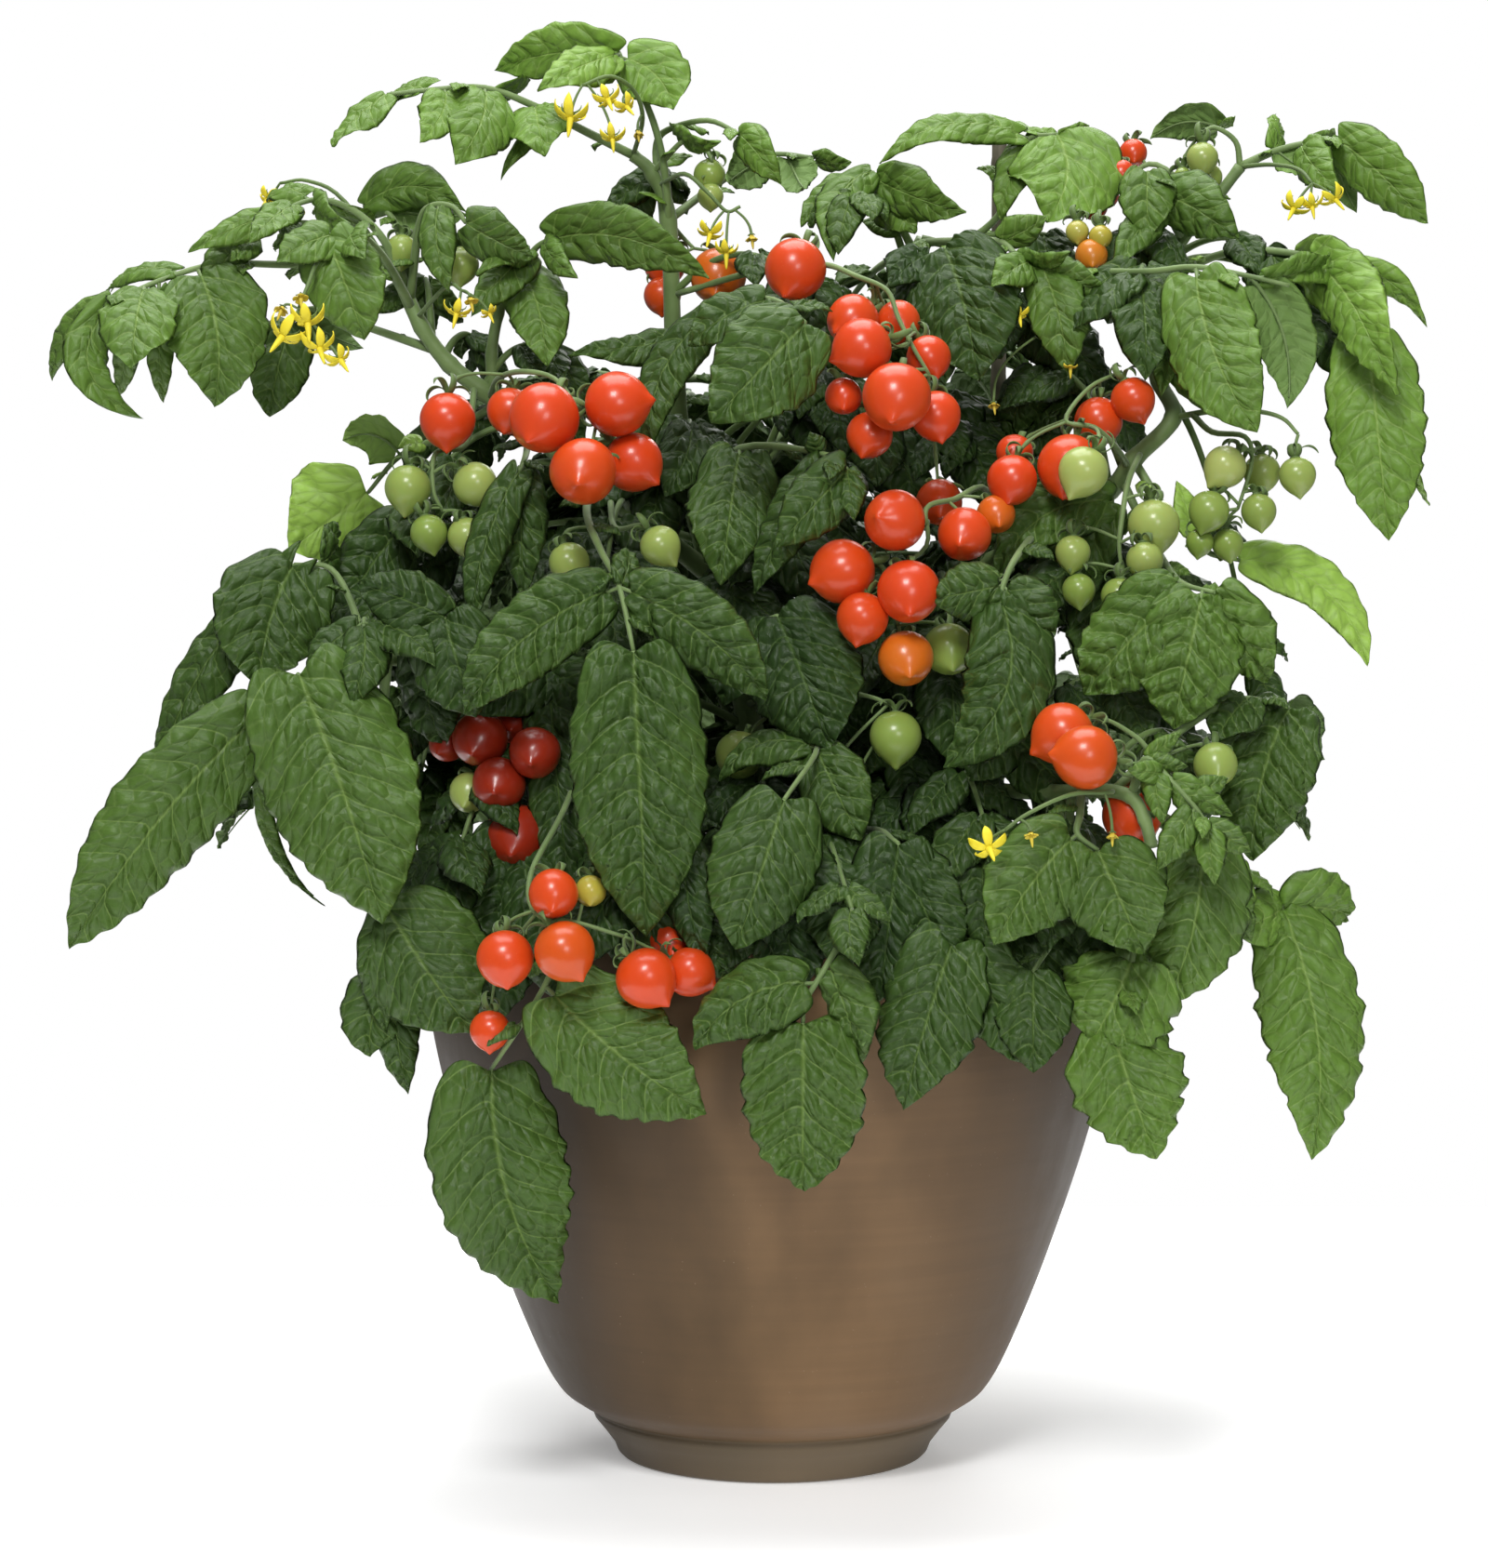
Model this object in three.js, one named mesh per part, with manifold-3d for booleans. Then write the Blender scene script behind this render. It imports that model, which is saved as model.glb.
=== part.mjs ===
// A potted tomato plant: a footed clay pot, potting soil, a thin cane, branching stems, compound
// leaves and trusses of small pointed tomatoes. Millimetres, +Z up, the front of the plant at -Y.
// The origin is the centre of the pot's foot, on the surface that the pot stands on.
import * as THREE from 'three';
import { mergeVertices } from 'three/addons/utils/BufferGeometryUtils.js';
import Module from 'manifold-3d';

const wasm = await Module();
wasm.setup();

// ---------------------------------------------------------------- driving dimensions
const POT_HEIGHT = 238;
const POT_RIM_RADIUS = 150;
const POT_WALL = 9;
const FOOT_RADIUS = 68;
const FOOT_HEIGHT = 19;
const DRAIN_RADIUS = 6;
const DRAIN_RING = 34;
const SOIL_TOP = 221;
const POT_FLOOR = 16;
const POT_SIDES = 32;
const CANE_RADIUS = 3.4;
const CANE_BOTTOM = 150;
const CANE_TOP = 563;
const LEAF_THICKNESS = 1.7;
const BLADE_ROOT = 3;
const BLADE_STATIONS = [0, 0.34, 0.7, 1];
const BLADE_WIDTHS = [0, 1, 0.72, 0];
const RACHIS_RADIUS = 1.7;
const TRUSS_RADIUS = 1.5;
const PEDICEL_RADIUS = 0.9;
const RINGS_PER_SPAN = 1;
const GAP = 0.35;

// The plant was measured from the front. A place is [across, up, depth]: across and up as they
// look from the viewpoint, on the upright plane through the pot's axis, and depth behind it (+)
// or before it (-). seen() slides that place along its line of sight to its depth.
const EYE = new THREE.Vector3(-12.4, -1900, 430);
const AIM = new THREE.Vector3(-12.4, 0, 290);
const PLANE_CENTRE = [-12.4, 285.6];
const PLANE_RIGHT = new THREE.Vector3(1, 0, 0);
const PLANE_UP = new THREE.Vector3().crossVectors(PLANE_RIGHT, AIM.clone().sub(EYE)).normalize();

// ---------------------------------------------------------------- stems
// Each stem: the node it belongs to, where it leaves its parent [stem, point number], its radii at
// both ends and the places it runs through. A place number such as 2.5 lies halfway from 2 to 3.
const STEMS = {
  "main_stem": {"node": "main_stem", "radii": [6.5, 2.5], "path": [
    [0, 180, 0], [0, 232, 0], [-5, 262, 2], [-10, 310, 8], [-22, 360, 12], [-35, 410, 15],
    [-42, 460, 14], [-45, 528, 5], [-52, 548, 0], [-60, 556, 0]]},
  "shoot_left": {"node": "shoot_left", "on": ["main_stem", 4.3], "radii": [4.3, 3.0], "path": [
    [-70, 410, -10], [-105, 438, -25], [-125, 455, -30], [-139, 466, -30], [-151, 482, -30],
    [-161, 504, -28]]},
  "shoot_left_inner": {"node": "shoot_left", "on": ["shoot_left", 2.7], "radii": [2.6, 2.1], "path": [
    [-121, 470, -30], [-118, 488, -28], [-113, 503, -25]]},
  "shoot_mid": {"node": "shoot_mid", "on": ["main_stem", 4.8], "radii": [3.4, 2.3], "path": [
    [-4, 425, 35], [28, 465, 42], [52, 500, 38], [64, 520, 30]]},
  "shoot_right": {"node": "shoot_right", "on": ["main_stem", 3.6], "radii": [4.6, 2.3], "path": [
    [30, 355, 10], [80, 375, -5], [120, 395, -30], [145, 412, -50], [155, 425, -55],
    [172, 443, -55], [166, 459, -40], [160, 480, -20], [165, 505, -5], [176, 520, 0],
    [188, 534, 0], [201, 551, 0]]},
  "shoot_low_right": {"node": "shoot_low_right", "on": ["main_stem", 1.9], "radii": [3.8, 2.4], "path": [
    [22, 278, -10], [52, 286, -20], [75, 286, -45], [95, 283, -85], [120, 282, -120],
    [140, 283, -146], [154, 280, -158], [160, 270, -162], [163, 258, -164]]},
  "shoot_low_left": {"node": "shoot_low_left", "on": ["main_stem", 1.7], "radii": [3.8, 2.4], "path": [
    [-40, 276, -40], [-80, 300, -62], [-120, 320, -72], [-150, 337, -84], [-175, 339, -98],
    [-198, 333, -112], [-209, 325, -122]]},
};

// ---------------------------------------------------------------- leaves
// Each compound leaf: where its stalk leaves a stem, the stalk's places, and its leaflets. A
// leaflet is [place number on the stalk, tip across, tip up, tip depth, width as seen, turn in
// degrees about its own midrib (0 faces the viewer), bow out of its plane, bend in its plane].
const LEAVES = {
  "leaf_top_left": {"on": ["main_stem", 9],
    "stalk": [[-80, 566, -4], [-102, 577, -8], [-124, 585, -12], [-148, 584, -16], [-166, 582, -18]],
    "blades": [[5, -190, 560, -34, 20, 50, 0.03, 0], [3.7, -152, 562, -38, 22, 15, 0.05, -0.12],
      [3, -136, 553, -42, 31, 0, 0.08, -0.08], [4, -165, 581, 34, 22, 70, 0.04, 0],
      [3, -112, 588, 34, 26, 75, 0.12, 0], [2, -98, 556, -38, 28, 5, 0.1, 0],
      [1.4, -117, 545, -16, 9, 30, 0.1, 0.1]]},
  "leaf_top": {"on": ["main_stem", 6.9],
    "stalk": [[-46, 545, -4], [-50, 566, -8], [-57, 584, -10], [-64, 595, -10], [-66, 600, -10]],
    "blades": [[5, -121, 592, 12, 25, 165, 0.03, -0.06], [4.9, -101, 585, -48, 22, 30, 0.05, 0],
      [4.6, -43, 576, -24, 30, 170, 0.04, 0.15], [4.4, -86, 589, -8, 16, 170, 0.04, 0]]},
  "leaf_far_left": {"on": ["shoot_left", 6],
    "stalk": [[-172, 508, -30], [-212, 509, -36], [-240, 509, -42], [-264, 502, -48], [-284, 493, -52]],
    "blades": [[3.3, -240, 447, -60, 46, 0, 0.12, -0.08], [5, -270, 443, -58, 20, -20, 0, 0.36],
      [4.9, -312, 458, -20, 15, 20, 0.04, 0.1], [4.8, -284, 450, -10, 12, 20, 0.06, -0.08],
      [4.3, -276, 464, -85, 34, 10, 0.1, 0], [4, -262, 447, -30, 13, 10, 0.1, 0],
      [3.6, -287, 495, -20, 16, 70, 0.15, 0]]},
  "leaf_upper_left": {"on": ["shoot_left", 5.8],
    "stalk": [[-167, 519, -36], [-180, 532, -38], [-196, 537, -42], [-212, 532, -48]],
    "blades": [[4, -252, 515, -58, 15, 30, 0.03, 0], [3.6, -225, 519, -85, 17, 30, 0.04, 0],
      [3, -183, 526, -80, 18, 50, 0.1, 0], [3.2, -215, 535, 5, 18, 70, 0.12, 0]]},
  "leaf_left_droop": {"on": ["shoot_left", 5.4],
    "stalk": [[-168, 513, -60], [-180, 523, -82], [-192, 521, -88]],
    "blades": [[3, -176, 476, -96, 35, 0, 0.1, -0.02], [2.7, -214, 510, -100, 22, 30, 0.1, 0]]},
  "leaf_left_inner": {"on": ["shoot_left_inner", 3],
    "stalk": [[-106, 511, -34], [-101, 517, -40], [-96, 520, -44]],
    "blades": [[3, -28, 502, -66, 28, 20, 0.03, -0.14], [2.6, -84, 503, -72, 14, 30, 0.1, 0],
      [1.6, -128, 506, -66, 14, 40, 0.1, 0], [0.6, -97, 465, -62, 27, 0, 0.1, -0.05]]},
  "leaf_centre": {"on": ["main_stem", 6.2],
    "stalk": [[-36, 478, -30], [-20, 492, -60], [0, 494, -90], [14, 484, -114]],
    "blades": [[1, -89, 471, -52, 18, 35, 0.1, -0.1], [3, -37, 474, -94, 26, 35, 0.12, 0],
      [2, -54, 425, -84, 24, 25, 0.1, 0.1], [4, -27, 441, -128, 46, 0, 0.08, 0]]},
  "leaf_mid_top": {"on": ["shoot_mid", 3.7],
    "stalk": [[54, 527, 22], [46, 537, 15], [43, 549, 8]],
    "blades": [[3, 27, 511, -22, 20, 10, 0.1, 0.16], [2.6, 12, 525, 0, 18, 40, 0.12, 0.1],
      [2.8, 83, 531, -20, 24, 20, 0.06, 0], [2.2, 61, 522, 0, 24, 20, 0.06, -0.1]]},
  "leaf_cane_side": {"on": ["shoot_mid", 4],
    "stalk": [[80, 518, 28], [97, 530, 22], [104, 550, 12], [110, 563, 4], [122, 565, 0]],
    "blades": [[5, 118, 528, -24, 50, 0, 0.04, -0.14], [4, 97, 528, -10, 18, 20, 0.1, 0],
      [4, 44, 555, -14, 20, 45, 0.14, 0.05], [5, 136, 569, 20, 12, 60, 0.1, 0]]},
  "leaf_mid_right": {"on": ["shoot_mid", 3.9],
    "stalk": [[76, 519, 8], [97, 519, -22], [106, 512, -40], [116, 508, -52]],
    "blades": [[4, 127, 462, -66, 27, 5, 0.1, -0.05], [3.5, 94, 500, -70, 20, 20, 0.1, 0],
      [4, 146, 497, -60, 18, 20, 0.1, 0], [2, 118, 530, -30, 16, 20, 0.1, 0]]},
  "leaf_mid_dark": {"on": ["shoot_mid", 3.3],
    "stalk": [[64, 510, 0], [74, 516, -34]],
    "blades": [[2, 88, 459, -70, 52, 10, 0.08, -0.05], [1.5, 74, 457, -62, 38, 15, 0.1, 0]]},
  "leaf_right_top": {"on": ["shoot_right", 12],
    "stalk": [[214, 557, -4], [228, 561, -8], [243, 563, -12]],
    "blades": [[3, 281, 526, -30, 27, 15, 0.06, -0.06], [2.7, 251, 531, 0, 16, 170, 0.1, 0],
      [2, 244, 540, -40, 20, 20, 0.12, 0], [1, 216, 573, 20, 16, 60, 0.1, 0]]},
  "leaf_right_mid": {"on": ["shoot_right", 10],
    "stalk": [[168, 535, -16], [161, 549, -24]],
    "blades": [[2, 161, 520, -34, 25, 0, 0.1, 0], [1.3, 200, 519, -40, 28, 15, 0.12, -0.1],
      [1, 146, 506, -45, 18, 20, 0.1, 0]]},
  "leaf_right_hero": {"on": ["shoot_mid", 2.9],
    "stalk": [[90, 503, 6], [122, 506, -24], [160, 506, -62], [182, 508, -76], [205, 504, -82],
      [222, 500, -86]],
    "blades": [[4, 208, 437, -112, 42, 10, 0.06, 0.05], [5, 220, 446, -84, 28, 160, 0.04, 0.15],
      [5.2, 240, 514, -60, 18, 50, 0.1, 0]]},
  "leaf_far_right": {"on": ["shoot_right", 8.8],
    "stalk": [[195, 514, -20], [222, 514, -34], [240, 508, -44], [250, 494, -52], [256, 478, -56]],
    "blades": [[5, 265, 390, -74, 42, 0, 0.08, 0], [4.4, 265, 452, -90, 28, 20, 0.1, 0],
      [3, 281, 481, -50, 14, 25, 0.12, -0.25], [3, 216, 502, -80, 22, 40, 0.1, 0],
      [4.6, 281, 404, -30, 18, 60, 0.1, -0.15]]},
  "leaf_right_bright": {"on": ["shoot_right", 5],
    "stalk": [[170, 402, -66], [186, 386, -66], [200, 382, -64]],
    "blades": [[3, 257, 338, -68, 25, 150, 0.03, 0.22], [1.6, 174, 417, -60, 12, 20, 0.1, 0]]},
  "leaf_right_crinkled": {"on": ["shoot_right", 4.4],
    "stalk": [[162, 392, -64], [172, 376, -96], [178, 371, -116], [190, 368, -124]],
    "blades": [[3, 133, 324, -128, 44, 10, 0.08, 0], [3.6, 172, 309, -134, 46, 0, 0.08, 0],
      [4, 214, 330, -120, 34, 20, 0.1, 0]]},
  "leaf_right_low": {"on": ["shoot_low_right", 6.4],
    "stalk": [[172, 306, -136], [200, 322, -116], [222, 318, -108]],
    "blades": [[3, 206, 252, -124, 44, 5, 0.08, 0.05], [3, 237, 296, -90, 26, 150, 0.08, 0],
      [2.2, 190, 304, -130, 26, 20, 0.1, 0]]},
  "leaf_mid_hero": {"on": ["shoot_right", 3],
    "stalk": [[112, 392, -80], [104, 382, -118], [99, 371, -126], [98, 364, -128]],
    "blades": [[4, 72, 293, -142, 40, 0, 0.08, -0.2], [3, 68, 365, -130, 26, 0, 0.08, 0],
      [3, 120, 346, -128, 30, 5, 0.08, 0]]},
  "leaf_right_hanging": {"on": ["shoot_low_right", 6],
    "stalk": [[172, 266, -130], [195, 254, -120], [208, 242, -112], [219, 232, -108]],
    "blades": [[4, 233, 123, -128, 46, -15, 0.05, -0.06], [4, 248, 228, -90, 32, 20, 0.08, -0.12],
      [4, 199, 222, -125, 26, -10, 0.1, 0], [2, 181, 199, -140, 34, 5, 0.08, 0]]},
  "leaf_low_right": {"on": ["shoot_low_right", 5.6],
    "stalk": [[132, 272, -156], [131, 264, -162], [140, 257, -164]],
    "blades": [[2, 95, 216, -176, 44, 0, 0.08, 0.05], [3, 160, 212, -178, 46, 0, 0.08, 0]]},
  "leaf_bottom_right": {"on": ["shoot_low_right", 5],
    "stalk": [[138, 250, -130], [150, 232, -145], [155, 212, -156], [146, 180, -160]],
    "blades": [[3, 136, 173, -160, 53, 5, 0.08, -0.04], [4, 165, 124, -166, 50, 0, 0.06, 0.01],
      [2.4, 174, 197, -140, 26, 15, 0.08, 0]]},
  "leaf_pot_right": {"on": ["shoot_low_right", 2.6],
    "stalk": [[78, 262, -86], [82, 240, -124], [79, 224, -148], [77, 217, -158]],
    "blades": [[4, 55, 145, -172, 46, 5, 0.06, 0], [3, 112, 163, -166, 34, 5, 0.08, 0],
      [1, 67, 223, -110, 26, 0, 0.08, 0]]},
  "leaf_low_centre": {"on": ["main_stem", 2.6],
    "stalk": [[4, 300, -50], [19, 301, -118], [5, 279, -160]],
    "blades": [[3, -16, 214, -176, 48, 0, 0.06, 0], [2, 38, 261, -140, 32, 5, 0.08, 0],
      [2, -24, 287, -120, 20, 40, 0.12, 0.15]]},
  "leaf_pot_front": {"on": ["main_stem", 1.6],
    "stalk": [[16, 262, -60], [30, 245, -115], [33, 227, -154], [24, 209, -174], [14, 192, -178],
      [13, 183, -178]],
    "blades": [[6, 13, 110, -178, 54, 0, 0.06, 0], [4.5, -34, 171, -180, 36, 25, 0.08, 0.12],
      [4, 38, 165, -172, 26, 30, 0.1, -0.1]]},
  "leaf_middle": {"on": ["main_stem", 5],
    "stalk": [[-14, 430, -62], [20, 428, -95], [32, 421, -105]],
    "blades": [[1, -22, 372, -110, 40, 5, 0.08, 0], [3, 1, 387, -120, 28, 0, 0.08, 0],
      [3, 35, 399, -118, 16, 0, 0.1, 0]]},
  "leaf_left_mid": {"on": ["shoot_low_left", 4],
    "stalk": [[-146, 350, -108], [-141, 357, -118]],
    "blades": [[2, -128, 314, -130, 42, 5, 0.08, 0], [2, -179, 372, -118, 28, 10, 0.1, 0],
      [1, -141, 301, -95, 32, 20, 0.06, 0.07]]},
  "leaf_hero": {"on": ["shoot_left", 1.2],
    "stalk": [[-80, 402, -90], [-74, 386, -122], [-66, 370, -136], [-60, 343, -150]],
    "blades": [[4, -54, 219, -175, 60, 0, 0.05, 0], [3, -134, 315, -145, 36, 10, 0.1, 0.08],
      [3, -2, 321, -140, 34, 10, 0.1, -0.1]]},
  "leaf_left_bright": {"on": ["shoot_left", 2.6],
    "stalk": [[-140, 436, -6], [-160, 427, 2], [-174, 411, 0]],
    "blades": [[3, -208, 386, -4, 47, 170, 0.05, 0], [2, -185, 434, 6, 24, 150, 0.06, -0.2]]},
  "leaf_left_fold": {"on": ["shoot_low_left", 5],
    "stalk": [[-180, 360, -84], [-190, 378, -74], [-206, 380, -78]],
    "blades": [[3, -221, 327, -96, 51, 0, 0.08, 0.06], [2.4, -190, 394, -40, 24, 60, 0.1, 0],
      [3, -268, 276, -66, 26, 30, 0.08, 0.05]]},
  "leaf_left_low": {"on": ["shoot_low_left", 7],
    "stalk": [[-204, 333, -130]],
    "blades": [[1, -168, 225, -150, 68, 0, 0.06, -0.02]]},
  "leaf_left_tip": {"on": ["shoot_low_left", 6.4],
    "stalk": [[-213, 320, -102], [-218, 318, -102], [-223, 314, -100]],
    "blades": [[3, -303, 213, -98, 46, -10, 0.06, 0.05], [1, -194, 230, -84, 10, 40, 0.1, 0.13]]},
  "leaf_low_left": {"on": ["shoot_low_left", 4.6],
    "stalk": [[-170, 290, -112], [-170, 250, -128], [-166, 233, -132]],
    "blades": [[3, -129, 178, -146, 58, 10, 0.08, 0], [3, -166, 178, -128, 20, 10, 0.06, 0.05]]},
  "leaf_pot_left": {"on": ["shoot_low_left", 1.6],
    "stalk": [[-72, 258, -110], [-82, 238, -140], [-98, 199, -158], [-121, 163, -138]],
    "blades": [[3, -28, 143, -168, 56, 5, 0.07, 0.03], [4, -90, 61, -124, 60, -5, 0.06, 0.09]]},
};

// The far side of the plant, filled by rule: [stem, place number, heading in degrees from +X,
// rise at the stem in degrees, length of the stalk].
const BACK_LEAVES = {
  "leaf_back_right": ["shoot_right", 2.4, 74, 6, 175],
  "leaf_back_middle": ["main_stem", 4.4, 92, 24, 175],
  "leaf_back_left": ["shoot_left", 1.2, 104, 8, 165],
  "leaf_back_high": ["main_stem", 5.8, 84, 14, 145],
  "leaf_back_low": ["main_stem", 2.4, 78, 34, 150],
};

// ---------------------------------------------------------------- trusses
// Each truss: where it leaves a stem, the places of its stalk, and its fruits. A fruit is [across,
// up, depth, radius as seen, and where its pointed tip shows, in radii across and up].
const TRUSSES = {
  "truss_top_red": {"on": ["main_stem", 7],
    "stalk": [[-40, 522, 28], [-34, 516, 24]],
    "fruits": [[-47.6, 495.6, 18, 8, 0, -0.95], [-46.4, 508.8, 26, 9, -0.2, -0.8],
      [-23.6, 504, 16, 12, -0.1, -0.6]]},
  "truss_left_red": {"on": ["shoot_left", 2.8],
    "stalk": [[-118, 460, -62], [-108, 463, -84], [-94, 460, -96], [-84, 448, -100], [-76, 440, -100]],
    "fruits": [[-140, 442, -84, 12, 0, -0.95], [-113, 446, -78, 10, -0.2, -0.8],
      [-98.4, 443, -112, 15.2, -0.35, -0.55], [-67, 449, -106, 14, 0.95, 0.1],
      [-81.6, 420, -122, 14.4, -0.1, -0.3], [-60, 424, -98, 12.8, 0.7, -0.6]]},
  "truss_left_green": {"on": ["shoot_left", 3.2],
    "stalk": [[-132, 432, -60], [-145, 428, -76], [-146, 412, -82], [-142, 403, -82]],
    "fruits": [[-157, 413, -84, 10, -0.1, -0.97], [-128, 414.5, -84, 9.6, 0.7, -0.75],
      [-148, 393.6, -88, 8, 0.25, -0.94], [-131.6, 392, -88, 8.4, 0.2, -0.95]]},
  "truss_middle_red": {"on": ["main_stem", 6.5],
    "stalk": [[0, 508, -30], [22, 509, -62], [36, 504, -78], [49, 498, -88], [54, 486, -94],
      [60, 474, -98], [67, 462, -100]],
    "fruits": [[9.6, 507, -66, 13.2, -0.3, -0.75], [34.4, 485, -84, 11.2, -0.6, -0.4],
      [38.4, 473, -104, 12.8, -0.9, -0.35], [30.4, 452.4, -94, 8, 0, -0.6],
      [54, 484, -76, 9.6, 0.4, -0.5], [67, 469, -88, 9.6, 0.3, -0.8],
      [53.2, 452, -118, 14.8, -0.15, -0.6], [70, 444, -100, 10.8, 0.2, -0.9],
      [41.6, 435.6, -98, 10, -0.3, -0.8]]},
  "truss_centre": {"on": ["shoot_right", 2.4],
    "stalk": [[92, 412, -62], [78, 408, -92], [66, 404, -104], [66, 388, -106], [50, 373, -106],
      [54, 354, -106]],
    "fruits": [[52.4, 399, -118, 13.2, -0.5, 0.1], [82.4, 393, -112, 11.6, -0.2, -0.3],
      [96, 401.6, -98, 8.4, 0.1, -0.5], [30, 377, -112, 14, -0.85, -0.3],
      [58.4, 368.4, -124, 13.6, 0, -0.6], [38.4, 357, -120, 11.2, -0.2, -0.9],
      [57.2, 339.6, -116, 12, 0.1, -0.5], [75.6, 343.6, -100, 11.2, 0.1, -0.6]]},
  "truss_right_red": {"on": ["shoot_right", 4.8],
    "stalk": [[147, 431, -78], [138, 439, -88], [126, 442, -86], [136, 456, -74], [150, 463, -66]],
    "fruits": [[103, 416.4, -96, 10.8, -0.2, -0.8], [104, 428, -76, 8, -0.3, -0.4],
      [127.6, 422, -92, 14, -0.2, -0.8], [140, 441.6, -70, 10.4, -0.1, -0.85],
      [155, 451, -76, 9.6, 0.4, -0.9], [133.6, 420, -112, 10.8, -0.45, -0.85]]},
  "truss_right_green": {"on": ["shoot_right", 5.2],
    "stalk": [[153, 416, -84], [150, 399, -94], [149, 388, -96], [150, 378, -96]],
    "fruits": [[164, 397, -96, 11.2, 0.1, -0.95], [129, 385, -98, 7.6, -0.1, -0.93],
      [160, 382, -104, 8, 0.1, -0.97], [131.6, 369, -100, 7.2, 0.05, -0.93],
      [149, 366.4, -104, 8, -0.1, -0.98]]},
  "truss_far_right_green": {"on": ["shoot_right", 6],
    "stalk": [[189, 446, -66], [207, 446, -72], [219, 443, -76], [226, 436, -78]],
    "fork": {"at": 0.5, "stalk": [[189, 437, -72], [203, 435, -78], [206, 424, -80], [200, 404, -82]]},
    "fruits": [[194.4, 422, -84, 9.2, -0.62, -0.74], [210.4, 419.6, -70, 8, 0, -0.95],
      [225.6, 418.4, -80, 8, 0.1, -0.97], [187.6, 403, -88, 8.8, -0.35, -0.88],
      [209, 403, -84, 7.6, 0.1, -0.94], [183.6, 389.6, -84, 6, -0.15, -0.95],
      [195.6, 388.8, -82, 6.8, 0.1, -0.93]]},
  "truss_low_left_dark": {"on": ["shoot_low_left", 2.8],
    "stalk": [[-108, 310, -86], [-103, 296, -92], [-100, 284, -94], [-97, 270, -94]],
    "fruits": [[-126, 305, -100, 12, -0.2, -0.4], [-140, 303, -88, 8, -0.4, -0.4],
      [-102.4, 299, -112, 11.2, -0.1, -0.3], [-118, 285.6, -108, 11.6, -0.1, -0.2],
      [-110.4, 263, -104, 14, -0.1, -0.4], [-130.4, 282, -96, 8.8, -0.2, -0.5]]},
  "truss_low_red": {"on": ["shoot_low_left", 2],
    "stalk": [[-90, 274, -128], [-104, 247, -156], [-102, 230, -164], [-84, 226, -168],
      [-64, 220, -168]],
    "fruits": [[-94.4, 238.4, -172, 10.8, 0, -0.5], [-115.2, 210.4, -168, 12.4, 0.1, -0.8],
      [-89.6, 213.6, -178, 13.2, 0.5, -0.75], [-54.4, 202, -172, 13.2, 0.6, -0.7],
      [-35.6, 204.8, -164, 10.8, 0.85, -0.5], [-121.6, 179.6, -150, 8.8, 0, -0.9],
      [-78.4, 239.6, -162, 6.8, 0, -0.7]]},
  "truss_low_right_red": {"on": ["shoot_low_right", 7],
    "stalk": [[164, 290, -150], [160, 302, -146], [150, 310, -146], [142, 314, -148]],
    "fruits": [[124.8, 307, -150, 13.6, -0.85, -0.5], [134.4, 297, -170, 14, -0.95, 0.1],
      [154.4, 272, -146, 13, -0.1, -0.9], [190.4, 294, -140, 9.6, 0, -0.5]]},
  "truss_inner_green": {"on": ["main_stem", 3.2],
    "stalk": [[20, 326, -70], [42, 323, -100], [53, 318, -106]],
    "fruits": [[52.8, 306, -110, 11.2, 0, -0.96], [-14.4, 298, -88, 10.4, -0.2, -0.5]]},
};

// ---------------------------------------------------------------- places and curves
function seen([across, up, depth]) {
  const onPlane = AIM.clone()
    .addScaledVector(PLANE_RIGHT, across - PLANE_CENTRE[0])
    .addScaledVector(PLANE_UP, up - PLANE_CENTRE[1]);
  const sight = onPlane.clone().sub(EYE);
  return EYE.clone().addScaledVector(sight, (depth - EYE.y) / sight.y);
}

// What looks this wide at the depth, as a real length.
function shrink(depth) {
  return (depth - EYE.y) / -EYE.y;
}

function pathThrough(points) {
  return new THREE.CatmullRomCurve3(points, false, 'catmullrom', 0.5);
}

function straight(from, to) {
  return pathThrough([from, to]);
}

// The point at a place number of a path, on the straight stretch between a rod's two rings there.
function pointAt(path, number) {
  const spans = path.points.length - 1;
  const ring = Math.floor(number * RINGS_PER_SPAN);
  const before = path.getPoint(ring / (RINGS_PER_SPAN * spans));
  const after = path.getPoint(Math.min(1, (ring + 1) / (RINGS_PER_SPAN * spans)));
  return before.lerp(after, number * RINGS_PER_SPAN - ring);
}

// ---------------------------------------------------------------- solids
function toSolid(geometry) {
  const bare = new THREE.BufferGeometry();
  bare.setAttribute('position', geometry.getAttribute('position').clone());
  if (geometry.index) bare.setIndex(geometry.index.clone());
  const merged = mergeVertices(bare, 1e-4);
  return new wasm.Manifold(new wasm.Mesh({
    numProp: 3,
    vertProperties: new Float32Array(merged.getAttribute('position').array),
    triVerts: new Uint32Array(merged.index.array),
  }));
}

function toGeometry(solid) {
  const mesh = solid.getMesh();
  const geometry = new THREE.BufferGeometry();
  geometry.setAttribute('position', new THREE.BufferAttribute(mesh.vertProperties, 3));
  geometry.setIndex(new THREE.BufferAttribute(mesh.triVerts, 1));
  geometry.computeVertexNormals();
  return geometry;
}

// The solid of a closed geometry whose faces may all point in.
function facingOut(geometry) {
  const solid = toSolid(geometry);
  if (solid.volume() > 0) return solid;
  geometry.index.array.reverse();
  return toSolid(geometry);
}

function joined(solids) {
  return solids.reduce((whole, solid) => whole.add(solid));
}

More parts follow.
